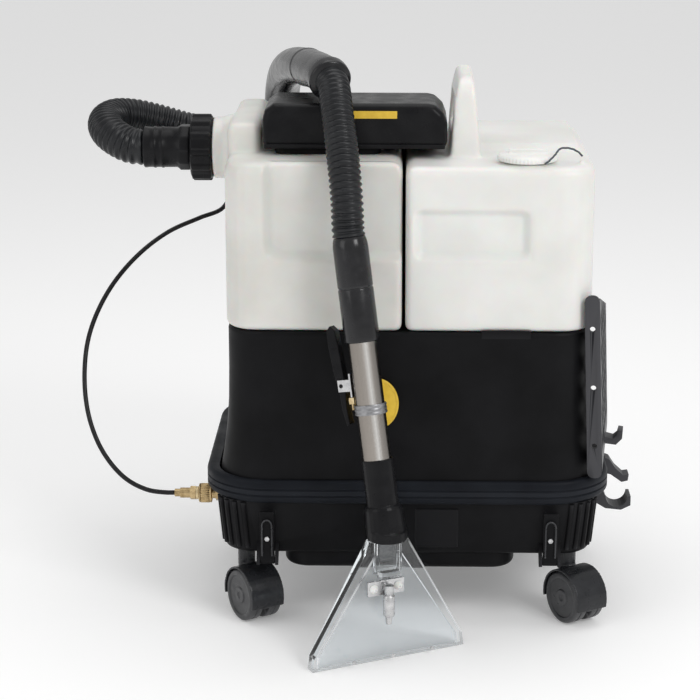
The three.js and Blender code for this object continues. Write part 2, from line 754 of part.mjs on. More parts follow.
function carryHandle() {
  const side = new THREE.Shape();
  side.moveTo(-112, frontLedge - 14);
  side.lineTo(74, frontLedge - 14);
  side.lineTo(62, handleTop - 34);
  side.quadraticCurveTo(57, handleTop - 2, 30, handleTop - 1);
  side.lineTo(-72, handleTop);
  side.quadraticCurveTo(-98, handleTop - 2, -101, handleTop - 30);
  side.closePath();
  const fingers = new THREE.Path();
  fingers.moveTo(-76, frontLedge + 26);
  fingers.lineTo(38, frontLedge + 26);
  fingers.lineTo(34, handleTop - 32);
  fingers.lineTo(-72, handleTop - 30);
  fingers.closePath();
  side.holes.push(fingers);
  const front = shapeOf([
    [handleX[0], frontLedge - 20], [handleX[1], frontLedge - 20], [handleX[1] - 4, frontLedge + 4],
    [handleX[1] - 9, handleTop - 30], [handleX[1] - 12, handleTop - 5], [handleX[1] - 16, handleTop + 1],
    [handleX[0] + 18, handleTop + 1], [handleX[0] + 13, handleTop - 5], [handleX[0] + 8, handleTop - 30],
    [handleX[0] + 4, frontLedge + 4],
  ]);
  return slabAlongX(side, [handleX[0] - 5, handleX[1] + 5]).intersect(slabAlongY(front, [-130, 90]));
}

function solutionTank() {
  const body = (inset) => block({
    x: [solutionX[0] + inset, solutionX[1] - inset],
    y: [tankFront + inset, tankBack - inset],
    z: [tankFoot + inset, frontLedge - inset],
    radii: [outerCorner - inset, innerCorner - inset, innerCorner - inset, outerCorner - inset],
    topRim: 10,
    footRim: 6,
  });
  const crown = (inset) => slabAlongX(shapeOf([
    [-88 + inset, frontLedge - 30], [-88 + inset, frontLedge - 4], [-30 + inset, frontLedge + crownRise - inset],
    [tankBack - 16 - inset, frontLedge + crownRise - inset], [tankBack - 6 - inset, frontLedge - 6],
    [tankBack - 6 - inset, frontLedge - 30],
  ]), [handleX[1] - 10 + inset, solutionX[1] - 12 - inset]);
  const fillerNeck = bar(fillerBore + 3.5, frontLedge - 12, frontLedge + 3, "z", [fillerX, fillerY], 28);
  const eyelet = bar(3.5, frontLedge - 10, frontLedge + 5, "z", [206, -145], 12);
  const outer = cut(join(body(0), crown(0), carryHandle(), fillerNeck, eyelet), ductNotch(0));
  const hollow = cut(body(tankWall), ductNotch(tankWall), box([handleX[0] - 2, handleX[1] + 2], [-120, 80], [frontLedge - 22, frontLedge + 5]));
  const filler = bar(fillerBore, frontLedge - 40, frontLedge + 10, "z", [fillerX, fillerY], 28);
  const panel = block({
    x: [solutionX[0] + 10, solutionX[0] + 152],
    y: [tankFront - 10, tankFront + 2],
    z: [tankFoot + 87, tankFoot + 148],
    corner: 1,
  });
  return cut(outer, hollow, crown(tankWall), filler, panel);
}

// The cap about its own axis, its top rim resting on the neck at height 0.
function fillerCap() {
  const lid = turned([
    [0, 3], [fillerBore - 4, 3], [fillerBore - 4, -14], [fillerBore - running, -14], [fillerBore - running, seam],
    [capRadius, seam], [capRadius, 5], [capRadius - 2, 7.5], [capRadius - 8, 9], [0, 9],
  ], 28);
  const gripBar = box([-22, 22], [-4, 4], [7, 14]);
  return join(lid, gripBar);
}

// ---- quick coupler of the solution line ----------------------------------------------------------

const couplerPlateX = [-trayHalfX - seam - 3, -trayHalfX - seam];
const couplerFace = couplerPlateX[0] - seam;
const socketLength = 30;
const hexLength = 5;
const sleeveX = [couplerFace - socketLength + 3 + seam, couplerFace - 10];
const sleeveTravel = 4.5;

function couplerPlate() {
  const plate = box(couplerPlateX, [couplerY - 14, couplerY + 14], [couplerZ - 20, trayTop - 2]);
  return plate.subtract(bar(7 + running, couplerPlateX[0] - 1, couplerPlateX[1] + 1, "x", [couplerY, couplerZ], 20));
}

function couplerSocket() {
  const mouth = couplerFace - socketLength;
  return join(
    bar(7, mouth, -trayHalfX + 14, "x", [couplerY, couplerZ], 20),
    bar(10, couplerFace - hexLength, couplerFace, "x", [couplerY, couplerZ], 6),
    bar(8.2, mouth, mouth + 3, "x", [couplerY, couplerZ], 20),
  ).subtract(bar(4.4, mouth - 1, -trayHalfX + 10, "x", [couplerY, couplerZ], 16));
}

function couplerSleeve() {
  const knurl = Array.from({ length: 12 }, (_, rib) => {
    const ridge = new THREE.BoxGeometry(sleeveX[1] - sleeveX[0] - 3, 3, 2);
    ridge.translate((sleeveX[0] + sleeveX[1]) / 2, 0, 11.7);
    ridge.rotateX((rib * Math.PI) / 6);
    ridge.translate(0, couplerY, couplerZ);
    return solid(ridge);
  });
  return join(bar(11.5, sleeveX[0], sleeveX[1], "x", [couplerY, couplerZ], 20), ...knurl)
    .subtract(bar(7 + running, sleeveX[0] - 1, sleeveX[1] + 1, "x", [couplerY, couplerZ], 20));
}

function couplerPlug() {
  const mouth = couplerFace - socketLength - seam;
  const end = solutionLineRoute[0][0] + seam;
  return join(
    bar(9, mouth - 7, mouth, "x", [couplerY, couplerZ], 6),
    bar(4, mouth - 3, mouth + 14, "x", [couplerY, couplerZ], 16),
    bar(6.5, mouth - 20, mouth - 5, "x", [couplerY, couplerZ], 18),
    bar(5, end, mouth - 16, "x", [couplerY, couplerZ], 16),
  );
}

// ---- side rack, clips, badge and label -----------------------------------------------------------

const rackHeight = bodyTop + 46 - beltTop - 2;
const rackTilt = THREE.MathUtils.degToRad(-2.4);
const rackYaw = THREE.MathUtils.degToRad(-7);
const rackX = halfWidth + 4.5;
const rackFront = -halfDepth + 3;
const rackLength = 217;
const rackThickness = 4;
const rackPosts = [[190, -106, 31], [190, -180, 29.5], [40, -106, 12]];

// The rack about its upper front corner: a rounded strip faces the front, a lattice runs back.
function sideRack() {
  const strip = new THREE.Shape(roundedOutline(-14, rackThickness + 0.2, -rackHeight, 0, Array(4).fill(8), 4));
  [0.18, 0.5, 0.82].forEach((share) => {
    const hole = new THREE.Path();
    hole.absarc(-5, -share * rackHeight, 3.4, 0, 2 * Math.PI, true);
    strip.holes.push(hole);
  });
  const stripSolid = slabAlongY(strip, [0, 5]);
  const lattice = new THREE.Shape(roundedOutline(0.2, rackLength, -rackHeight + 6, -6, Array(4).fill(16), 4));
  const [rows, columns] = [5, 5];
  const border = 12;
  const pitchY = (rackLength - 2 * border) / columns;
  const pitchZ = (rackHeight - 12 - 2 * border) / rows;
  const openShare = 0.39;
  const diamond = (middleY, middleZ) => new THREE.Path([
    new THREE.Vector2(middleY - pitchY * openShare, middleZ),
    new THREE.Vector2(middleY, middleZ + pitchZ * openShare),
    new THREE.Vector2(middleY + pitchY * openShare, middleZ),
    new THREE.Vector2(middleY, middleZ - pitchZ * openShare),
  ]);
  for (let row = 0; row < 2 * rows - 1; row += 1) {
    const offset = row % 2;
    for (let column = 0; column < columns - offset; column += 1) {
      lattice.holes.push(diamond(
        border + (column + 0.5 + offset / 2) * pitchY,
        -rackHeight + 6 + border + ((row + 1) / 2) * pitchZ,
      ));
    }
  }
  const plate = slabAlongX(lattice, [0, rackThickness]);
  const posts = rackPosts.map(([y, z, reach]) => bar(3.5, -reach, 1, "x", [y, z], 12));
  const low = -rackHeight;
  const hook = slabAlongY(shapeOf([
    [3, low + 12], [18, low + 10], [26, low + 18], [27, low + 28], [21, low + 29],
    [19, low + 22], [14, low + 18], [3, low + 21],
  ]), [105, 127]);
  return join(stripSolid, plate, ...posts, hook);
}

function beltClip() {
  const x = beltHalfX + seam;
  const outline = shapeOf([
    [x, beltFoot + 4], [x + 8, beltFoot + 2], [x + 22, beltFoot - 8], [x + 30, beltFoot - 6], [x + 31, beltFoot + 2],
    [x + 24, beltFoot + 1], [x + 14, beltFoot + 10], [x + 6, beltFoot + 22], [x, beltFoot + 24],
  ]);
  return slabAlongY(outline, [-72, -50]);
}

const cradleRadius = 14;

function wandCradle() {
  const x = trayHalfX + seam;
  const outline = new THREE.Shape();
  outline.moveTo(x, trayTop - 6);
  outline.lineTo(x, trayTop - 30);
  outline.lineTo(x + 20, trayTop - 42);
  outline.lineTo(x + 40, trayTop - 44);
  outline.lineTo(x + 52, trayTop - 38);
  outline.lineTo(x + 52, trayTop - 26);
  outline.lineTo(x + 48, trayTop - 26);
  outline.absarc(x + 34, trayTop - 26, cradleRadius, 0, Math.PI, true);
  outline.lineTo(x + 16, trayTop - 18);
  outline.lineTo(x + 8, trayTop - 6);
  outline.closePath();
  return slabAlongY(outline, [-76, -46]);
}

function frontBadge() {
  const oval = new THREE.Shape();
  oval.absellipse(0, 0, 27, 32, 0, 2 * Math.PI);
  return slabAlongY(oval, [-1.5, 1.5]);
}

function headLabel() {
  return box([-71, -15], [headY[0] - seam - 0.8, headY[0] - seam], [headTop - 17, headTop - 8]);
}

// ---- latches -------------------------------------------------------------------------------------

// A latch lever about its pivot, standing up in front of the tray.
function latchLever() {
  const top = trayTop - latchPivotZ - 10;
  const outline = shapeOf([
    [4, -3], [4, 4], [1, 10], [1, top - 8], [-2, top], [-7, top], [-6, top - 12], [-4, 12], [-5, 2], [-2, -4],
  ]);
  const strap = slabAlongX(outline, [-latchWidth / 2, latchWidth / 2]);
  const reach = latchWidth / 2 + running + earThickness;
  const trunnion = bar(trunnionRadius, -reach, reach, "x", [0, 0], 16);
  return join(strap, trunnion);
}

// ---- casters ---------------------------------------------------------------------------------------

const hoodOuter = wheelRadius + 4;
const hoodWidth = 46;
const webWidth = 7;
const stemRadius = 5;
const stemTop = trayFloor + socketDepth - 6;

function casterSocket() {
  const shank = turned([
    [0, -4.6], [13, -4.6], [13, -seam], [socketRadius, -seam], [socketRadius, socketDepth], [0, socketDepth],
  ], 14);
  return shank.subtract(bar(stemRadius + running, -6, socketDepth - 3, "z", [0, 0], 12));
}

// Hood, web and stem about the wheels' axle: X is the axle, the stem stands behind it.
function casterHood() {
  const band = new THREE.Shape();
  const from = THREE.MathUtils.degToRad(-12);
  const to = THREE.MathUtils.degToRad(196);
  band.absarc(0, 0, hoodOuter, from, to, false);
  band.absarc(0, 0, wheelRadius + 1.4, to, from, true);
  band.closePath();
  const hood = slabAlongX(band, [-hoodWidth / 2, hoodWidth / 2], 0, 10);
  const web = bar(wheelRadius + 2, -webWidth / 2, webWidth / 2, "x", [0, 0], 16)
    .subtract(box([-10, 10], [-50, 50], [-50, -12]));
  const bossTop = trayFloor - 4.6 - 0.6 - wheelRadius;
  const boss = bar(11, 24, bossTop, "z", [0, casterTrail], 14)
    .subtract(bar(wheelRadius + 1.4, -30, -webWidth / 2, "x", [0, 0], 16))
    .subtract(bar(wheelRadius + 1.4, webWidth / 2, 30, "x", [0, 0], 16));
  const stem = bar(stemRadius, bossTop - 3, stemTop - wheelRadius, "z", [0, casterTrail], 12);
  const axleHole = bar(4 + running, -10, 10, "x", [0, 0], 12);
  return join(hood, web, boss, stem).subtract(axleHole);
}

function casterWheels() {
  const half = (hoodWidth - 2) / 2;
  const inner = webWidth / 2 + 0.8;
  const profile = [
    [0, inner], [wheelRadius - 1, inner], [wheelRadius, inner + 1.5], [wheelRadius, half - 3],
    [wheelRadius - 2.5, half], [wheelRadius - 8, half - 1.5], [0, half - 1.5],
  ];
  const wheel = turned(profile, 20);
  const asAxle = (shape, turn) => {
    const geometry = geometryOf(shape);
    geometry.rotateY(turn);
    return solid(geometry);
  };
  const axle = bar(4, -inner - 2, inner + 2, "x", [0, 0], 12);
  return join(asAxle(wheel, Math.PI / 2), asAxle(wheel, -Math.PI / 2), axle);
}

// ---- wand ------------------------------------------------------------------------------------------

const mouthRise = 16;
const shoulderHalf = 24;
const slotWidth = 7;
const throatRadius = 15;
const throatLength = 44;

// The clear head standing on its lip: X across, Z up.
function nozzle() {
  const half = nozzleWidth / 2;
  const outer = slabAlongY(shapeOf([
    [-half, 0], [half, 0], [half - 2, mouthRise], [shoulderHalf, nozzleHeight], [-shoulderHalf, nozzleHeight], [-half + 2, mouthRise],
  ]), [-nozzleThickness / 2, nozzleThickness / 2]);
  const throat = bar(throatRadius + 3, nozzleHeight - throatLength, nozzleHeight, "z", [0, 0], 24);
  const side = 7;
  const channel = slabAlongY(shapeOf([
    [-half + side, -1], [half - side, -1], [half - side - 2, mouthRise], [shoulderHalf - side, nozzleHeight - 18],
    [-shoulderHalf + side, nozzleHeight - 18], [-half + side + 2, mouthRise],
  ]), [-slotWidth / 2, slotWidth / 2]);
  const throatBore = bar(throatRadius, nozzleHeight - throatLength + 6, nozzleHeight + 1, "z", [0, 0], 24);
  return join(outer, throat).subtract(join(channel, throatBore));
}

const bootLength = 40;
const bootStart = 7;
const bootRadius = 24;
const sleeveRadius = 19.2;
const sleeveEnd = 96;
const tubeEnd = 300;
const gripStart = 236;
const gripSeam = 300;
const gripEnd = 360;

// Everything above the head is made about the wand's own axis, from the head's top upwards.
// The boot's collar stands square on the head, and its sleeve follows the leaning tube.
function nozzleBoot() {
  const sleeve = turned([
    [0, bootStart], [bootRadius, bootStart], [bootRadius - 1.5, bootLength - 4], [bootRadius - 3, bootLength],
    [sleeveRadius, bootLength], [sleeveRadius, sleeveEnd], [0, sleeveEnd],
  ], 24);
  const upright = new THREE.Matrix4().makeRotationFromEuler(new THREE.Euler(-wandLean, wandRoll, 0)).invert();
  const square = (shape) => solid(geometryOf(shape).applyMatrix4(upright));
  const collar = square(bar(bootRadius, seam, 12, "z", [0, 0], 24));
  const tubeBore = bar(tubeDiameter / 2 + seam, 10, sleeveEnd + 1, "z", [0, 0], 28);
  const throatPath = square(bar(throatRadius, -2, 14, "z", [0, 0], 20));
  return cut(join(sleeve, collar), tubeBore, throatPath, bar(throatRadius - 2, 2, 12, "z", [0, 0], 20));
}

function wandTube() {
  const radius = tubeDiameter / 2;
  return turned([
    [radius - 1.6, 12], [radius, 12], [radius, tubeEnd], [radius - 1.6, tubeEnd], [radius - 1.6, 12],
  ], 24);
}

function wandGrip() {
  const radius = gripDiameter / 2;
  const bore = tubeDiameter / 2 + seam;
  return turned([
    [bore, gripStart], [radius - 1, gripStart], [radius, gripStart + 2], [radius, gripSeam - 1.5],
    [radius - 0.8, gripSeam], [radius, gripSeam + 1.5], [radius, gripEnd - 10], [radius - 2, gripEnd],
    [16, gripEnd], [16, tubeEnd + seam], [bore, tubeEnd + seam], [bore, gripStart],
  ], 24);
}

const bandZ = [150, 162];

function tubeBand() {
  const bore = tubeDiameter / 2 + seam;
  return turned([[bore, bandZ[0]], [bore + 1.6, bandZ[0]], [bore + 1.6, bandZ[1]], [bore, bandZ[1]], [bore, bandZ[0]]], 24);
}

const leverPivot = [31, 186];
const triggerTurn = THREE.MathUtils.degToRad(38);

// Clevis that carries the lever, on the trigger side (+Y) of the tube.
function leverBracket() {
  const base = tubeDiameter / 2 + seam;
  const saddle = box([-9, 9], [base, base + 2], [leverPivot[1] - 14, leverPivot[1] + 14]);
  const cheekY = [base + 1, leverPivot[0] + 4];
  const cheekZ = [leverPivot[1] - 7, leverPivot[1] + 7];
  const cheeks = [[-9, -7], [7, 9]].map((x) => box(x, cheekY, cheekZ));
  const holes = bar(2.2 + running, -12, 12, "x", leverPivot, 14);
  return join(saddle, ...cheeks).subtract(holes);
}

function sprayValve() {
  const base = tubeDiameter / 2 + seam;
  return join(
    box([-6, 6], [base, base + 6.5], [163.5, 171]),
    bar(3, base + 5, base + 8.5, "y", [0, 167], 12),
    bar(2.4, 156, 165, "z", [0, base + 4.6], 10),
  );
}

// Trigger lever about its pivot pin: a long bar beside the tube, upper end by the grip.
function triggerLever() {
  const outline = shapeOf([
    [-4, -46], [0, -48], [4, -28], [5, -5], [9, 12], [12, 48], [12, 66], [7, 72], [1, 66], [-1, 48], [-3, 12],
    [-4, 0], [-3, -12], [-2, -28],
  ]);
  const pin = bar(2.2, -10.5, 10.5, "x", [0, 0], 12);
  return join(slabAlongX(outline, [-6, 6]), pin);
}

const jetX = -6;
const jetZ = -57;
const jetStandoff = 10;
const jetFace = -nozzleThickness / 2 - seam;

// The spray jet and its bracket on the face of the clear head, about the head's top.
function jetBracket() {
  const plate = box([jetX - 24, jetX + 24], [jetFace - 2, jetFace], [jetZ - 9, jetZ + 9]);
  return plate.subtract(bar(5 + running, jetFace - 3, jetFace + 1, "y", [jetX, jetZ], 16));
}

function sprayJet() {
  const y = jetFace - jetStandoff;
  return join(
    bar(5, y, jetFace - 0.5, "y", [jetX, jetZ], 14),
    bar(5.5, jetZ - 22, jetZ + 6, "z", [jetX, y], 14),
    bar(7, jetZ - 44, jetZ - 20, "z", [jetX, y], 6),
  );
}

// ---- assembly --------------------------------------------------------------------------------------

function placed(mesh, x, y, z) {
  mesh.position.set(x, y, z);
  return mesh;
}

add("base_tray", baseTray(), blackPlastic);
add("bumper_belt", bumperBelt(), beltPlastic);
add("body_housing", bodyHousing(), blackPlastic);
add("deck_plate", deckPlate(), steel);
placed(add("vacuum_motor", vacuumMotor(), motorMetal), motorX, motorY, deckTop + seam);
placed(add("pump", pump(), motorMetal), 90, -40, deckTop + seam);
add("suction_duct", suctionDuct(), blackPlastic);
add("exhaust_grille", exhaustGrille(), charcoalPlastic);
add("switch_plate", switchPlate(), charcoalPlastic);
add("power_inlet", powerInlet(), rubber);
["motor_switch", "pump_switch"].forEach((name, side) => {
  const mesh = placed(add(name, rocker(), whitePlastic), rockerX[side], switchFace - 1.5, rockerZ);
  mesh.rotation.set(rockerTilt, 0, 0);
});

add("recovery_tank", recoveryTank(), tankPlastic);
add("suction_head", suctionHead(), blackPlastic);
add("head_gasket", headGasket(), rubber);
add("head_label", headLabel(), yellowPlastic);
placed(add("float_cage", floatCage(), whitePlastic), floatX, floatY, cageTop - cageHeight);
placed(
  add("float_ball", new THREE.SphereGeometry(ballRadius, 14, 8), yellowPlastic),
  floatX, floatY, cageTop - cageHeight + 3 + seam + ballRadius,
);

add("hose_ring_nut", ringNut(), blackPlastic);
add("hose_cuff", hoseCuff(), blackPlastic);
add("suction_hose", sweep(backHoseRoute, hoseDiameter, 50, 10), blackPlastic);
add("hose_elbow", hoseElbow(), blackPlastic);
add("suction_hose_front", sweep(frontHoseRoute, frontHoseDiameter, 10), blackPlastic);
add("hose_hook", hoseHook(), steel);

add("solution_tank", solutionTank(), whitePlastic);
placed(add("filler_cap", fillerCap(), whitePlastic), fillerX, fillerY, frontLedge + 3);
add("cap_tether", sweep(capTetherRoute, tetherDiameter, 16, 8), rubber);

add("coupler_plate", couplerPlate(), brass);
add("coupler_socket", couplerSocket(), brass);
add("coupler_sleeve", couplerSleeve(), brass);
add("coupler_plug", couplerPlug(), brass);
add("solution_line", sweep(solutionLineRoute, lineDiameter, 48, 8), rubber);

placed(add("side_rack", sideRack(), blackPlastic), rackX, rackFront, bodyTop + 46).rotation.set(0, rackTilt, rackYaw);
add("belt_clip", beltClip(), blackPlastic);
add("wand_cradle", wandCradle(), blackPlastic);
placed(add("front_badge", frontBadge(), yellowPlastic), -43, -halfDepth - 3.2, bodyTop - 88);

["latch_left", "latch_right"].forEach((name, side) => {
  placed(add(name, latchLever(), blackPlastic), latchX[side], latchPivotY, latchPivotZ);
});

casterSpots.forEach(([name, sideX, sideY]) => {
  const x = sideX * casterX;
  const y = sideY * casterY;
  placed(add(`caster_socket_${name}`, casterSocket(), whitePlastic), x, y, trayFloor);
  const swivel = new THREE.Group();
  swivel.position.set(x, y, 0);
  swivel.rotation.set(0, 0, casterYaw + Math.PI / 2);
  machine.add(swivel);
  addTo(swivel, `caster_hood_${name}`, casterHood(), charcoalPlastic).position.set(0, -casterTrail, wheelRadius);
  addTo(swivel, `caster_wheels_${name}`, casterWheels(), charcoalPlastic).position.set(0, -casterTrail, wheelRadius);
});

const wand = new THREE.Group();
wand.position.copy(wandStand);
wand.rotation.set(0, 0, wandYaw);
machine.add(wand);
addTo(wand, "nozzle", nozzle(), clearPlastic);
const headSide = new THREE.Group();
headSide.position.set(0, 0, nozzleHeight);
wand.add(headSide);
addTo(headSide, "jet_bracket", jetBracket(), steel);
addTo(headSide, "spray_jet", sprayJet(), steel);
const stick = new THREE.Group();
stick.position.set(0, 0, nozzleHeight);
stick.rotation.set(-wandLean, wandRoll, 0);
wand.add(stick);
addTo(stick, "nozzle_boot", nozzleBoot(), rubber);
addTo(stick, "wand_tube", wandTube(), steel);
addTo(stick, "wand_grip", wandGrip(), blackPlastic);
addTo(stick, "tube_band", tubeBand(), motorMetal);
const triggerSide = new THREE.Group();
triggerSide.rotation.set(0, 0, triggerTurn);
stick.add(triggerSide);
addTo(triggerSide, "lever_bracket", leverBracket(), steel);
addTo(triggerSide, "spray_valve", sprayValve(), brass);
addTo(triggerSide, "trigger_lever", triggerLever(), blackPlastic).position.set(0, leverPivot[0], leverPivot[1]);

// ---- origin ----------------------------------------------------------------------------------------

const hoseNames = ["suction_hose", "hose_elbow", "suction_hose_front", "cap_tether", "solution_line", "coupler_plug"];
machine.updateMatrixWorld(true);
const extent = new THREE.Box3();
machine.traverse((item) => {
  if (item.isMesh && !hoseNames.includes(item.name)) {
    extent.expandByObject(item, true);
  }
});
const shift = extent.getCenter(new THREE.Vector3());
machine.position.set(-shift.x, -shift.y, -extent.min.z);

const carpetCleaner = new THREE.Group();
carpetCleaner.add(machine);

export default carpetCleaner;
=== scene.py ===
# %% [markdown]
# # A carpet cleaner with its hose and its wand
# The machine stands on four casters. A black housing with a bumper belt carries two milky tanks, a ribbed
# suction hose loops round the back and comes over the top, and an upholstery wand leans in front. The
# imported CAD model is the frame. It gives every size and every moving body, and this file gives the looks.

# %% Open the frame
import math

import bmesh
import bpy
import numpy as np
from mathutils import Matrix, Vector


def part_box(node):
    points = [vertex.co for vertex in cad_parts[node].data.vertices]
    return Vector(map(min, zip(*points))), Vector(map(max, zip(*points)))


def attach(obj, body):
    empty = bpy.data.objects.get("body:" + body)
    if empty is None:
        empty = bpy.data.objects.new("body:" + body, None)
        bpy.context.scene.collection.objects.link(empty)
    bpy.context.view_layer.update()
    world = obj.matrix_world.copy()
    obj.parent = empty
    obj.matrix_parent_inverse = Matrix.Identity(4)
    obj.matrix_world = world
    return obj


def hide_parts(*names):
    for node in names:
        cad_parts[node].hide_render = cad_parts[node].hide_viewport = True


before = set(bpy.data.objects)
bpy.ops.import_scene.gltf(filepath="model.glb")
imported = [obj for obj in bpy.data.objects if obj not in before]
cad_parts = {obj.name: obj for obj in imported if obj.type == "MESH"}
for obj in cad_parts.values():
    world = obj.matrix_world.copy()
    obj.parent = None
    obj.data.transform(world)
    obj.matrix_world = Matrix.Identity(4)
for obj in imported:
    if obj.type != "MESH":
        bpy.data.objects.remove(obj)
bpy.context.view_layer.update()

# %% [markdown]
# ## Where things are
# The housing is symmetric, so the middle of its box is the machine's own centre line. Every piece is
# drawn in millimetres from that centre, with X to the right, Y to the back and Z up from the floor. One
# matrix turns millimetres into the frame's metres, and other matrices stand for the wand and the casters.

# %% The machine's own millimetres
housing_low, housing_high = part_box("body_housing")
machine = Matrix.Translation((
    (housing_low.x + housing_high.x) / 2, (housing_low.y + housing_high.y) / 2, 0,
)) @ Matrix.Scale(0.001, 4)
print("machine centre at", [round(value, 4) for value in machine.translation])


def local_box(node, place=machine):
    """The lowest and highest corner of a CAD node in the millimetres of a place."""
    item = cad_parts[node]
    back = place.inverted() @ item.matrix_world
    points = np.array([tuple(back @ vertex.co) for vertex in item.data.vertices])
    return points.min(axis=0), points.max(axis=0)


def turned_to(x, y, z):
    """A place turned about X, then Y, then Z, in degrees."""
    return (
        Matrix.Rotation(math.radians(x), 4, "X") @ Matrix.Rotation(math.radians(y), 4, "Y")
        @ Matrix.Rotation(math.radians(z), 4, "Z")
    )


wand = machine @ Matrix.Translation((-24, -280, 0)) @ turned_to(0, 0, 27)
head_side = wand @ Matrix.Translation((0, 0, 150))
stick = head_side @ turned_to(-12.2, -2.1, 0)
caster_spots = {
    "front_left": (-201, -140), "front_right": (201, -140),
    "rear_left": (-201, 140), "rear_right": (201, 140),
}
latch_spots = {"left": -172, "right": 176}
latch_pivot_y, latch_pivot_z = -187, 86.6
coupler_y, coupler_z = -100, 144.6
port_z = 570.4
cap_x, cap_y = 141, -138
floor_of_tray, top_of_tray = 92.6, 161.6

# %% [markdown]
# ## Camera
# A product view: far away with a long lens, in front of the centre, looking slightly down on the front. A
# long lens keeps the upright edges nearly parallel.

# %% Camera
camera = bpy.data.objects.new("camera", bpy.data.cameras.new("camera"))
bpy.context.scene.collection.objects.link(camera)
camera.location = machine @ Vector((-13, -2700, 1025))
camera.rotation_euler = (math.radians(90 - 14.9), 0, math.radians(1.3))
camera.data.lens = 111.24
bpy.context.scene.camera = camera
print("camera stands", round((camera.location - machine.translation).length, 2), "m away")

# %% [markdown]
# ## Floor and light
# A pale floor runs far behind the machine, under a pale sky of even light. One wide soft lamp stands in
# front on the right, a weaker one on the left and one overhead, as in a small studio. The even sky keeps
# the milky tanks bright, and the lamps draw the highlights on the black plastic.

# %% Floor
floor_mesh = bpy.data.meshes.new("floor")
floor_mesh.from_pydata([(-30, -30, 0), (30, -30, 0), (30, 30, 0), (-30, 30, 0)], [], [(0, 1, 2, 3)])
floor = bpy.data.objects.new("floor", floor_mesh)
bpy.context.scene.collection.objects.link(floor)
floor_finish = bpy.data.materials.new("floor_paint")
floor_finish.use_nodes = True
floor_shader = floor_finish.node_tree.nodes["Principled BSDF"]
floor_shader.inputs["Base Color"].default_value = (0.9, 0.9, 0.9, 1)
floor_shader.inputs["Roughness"].default_value = 0.9
floor_shader.inputs["Specular IOR Level"].default_value = 0.1
floor_shader.inputs["Emission Color"].default_value = (1, 1, 1, 1)
floor_shader.inputs["Emission Strength"].default_value = 0.17
floor_mesh.materials.append(floor_finish)

# %% Sky and lamps
sky = bpy.data.worlds.new("studio")
sky.use_nodes = True
sky.node_tree.nodes["Background"].inputs["Color"].default_value = (1, 1, 1, 1)
sky.node_tree.nodes["Background"].inputs["Strength"].default_value = 0.6
bpy.context.scene.world = sky
bpy.context.scene.view_settings.view_transform = "Standard"


def soft_lamp(name, place, aim, size, power):
    """A square lamp that shines from one point towards another, in metres."""
    lamp = bpy.data.lights.new(name, "AREA")
    lamp.shape = "RECTANGLE"
    lamp.size, lamp.size_y = size
    lamp.energy = power
    holder = bpy.data.objects.new(name, lamp)
    holder.location = place
    holder.rotation_euler = (Vector(aim) - Vector(place)).to_track_quat("-Z", "Y").to_euler()
    bpy.context.scene.collection.objects.link(holder)


soft_lamp("key_lamp", (1.9, -2.2, 2.3), (0, 0, 0.4), (1.2, 1.2), 36)
soft_lamp("fill_lamp", (-2.4, -1.8, 1.5), (0, 0, 0.4), (1.6, 1.6), 11)
soft_lamp("top_lamp", (0.1, 0.3, 2.6), (0, 0, 0.4), (1.8, 1.8), 15)
print("lamps:", [item.name for item in bpy.data.lights])

# %% [markdown]
# ## Finishes
# Each finish is a set of shader values with small procedural detail on top: a slow change of tone, a fine
# grain in the surface and a roughness that varies, because no moulded or turned part is perfectly even.
# The steady values sit on the shader's own sockets, and only colour, roughness and bump come from nodes.

# %% Tools for finishes
def new_finish(name, colour, roughness, **steady):
    """A finish for one slot of the frame. Steady values sit on the shader, with underscores for spaces."""
    finish = bpy.data.materials.new(name + "_finish")
    finish["slot"] = name
    finish.use_nodes = True
    shader = finish.node_tree.nodes["Principled BSDF"]
    shader.inputs["Base Color"].default_value = (*colour, 1)
    shader.inputs["Roughness"].default_value = roughness
    for label, value in steady.items():
        shader.inputs[label.replace("_", " ")].default_value = value
    return finish


def add_node(finish, kind, **values):
    made = finish.node_tree.nodes.new(kind)
    for label, value in values.items():
        made.inputs[label.replace("_", " ")].default_value = value
    return made


def speckle(finish, size, detail=3.0, stretch=(1, 1, 1)):
    """Noise whose blotches are about size millimetres wide, stretched along the axes if asked."""
    place = add_node(finish, "ShaderNodeTexCoord")
    spread = add_node(finish, "ShaderNodeMapping", Scale=[1 / value for value in stretch])
    noise = add_node(finish, "ShaderNodeTexNoise", Scale=1000 / size, Detail=detail)
    finish.node_tree.links.new(place.outputs["Object"], spread.inputs["Vector"])
    finish.node_tree.links.new(spread.outputs["Vector"], noise.inputs["Vector"])
    return noise.outputs["Fac"]


def vary_tone(finish, size, dark, light, stretch=(1, 1, 1)):
    """The colour wanders between dark and light."""
    links = finish.node_tree.links
    ramp = add_node(finish, "ShaderNodeValToRGB")
    ramp.color_ramp.elements[0].position, ramp.color_ramp.elements[1].position = 0.3, 0.7
    ramp.color_ramp.elements[0].color = (*dark, 1)
    ramp.color_ramp.elements[1].color = (*light, 1)
    links.new(speckle(finish, size, stretch=stretch), ramp.inputs["Fac"])
    links.new(ramp.outputs["Color"], finish.node_tree.nodes["Principled BSDF"].inputs["Base Color"])
    return ramp


def vary_gloss(finish, size, low, high, stretch=(1, 1, 1)):
    """The roughness wanders between low and high."""
    links = finish.node_tree.links
    span = add_node(finish, "ShaderNodeMapRange", From_Min=0.3, From_Max=0.7, To_Min=low, To_Max=high)
    links.new(speckle(finish, size, stretch=stretch), span.inputs["Value"])
    links.new(span.outputs["Result"], finish.node_tree.nodes["Principled BSDF"].inputs["Roughness"])


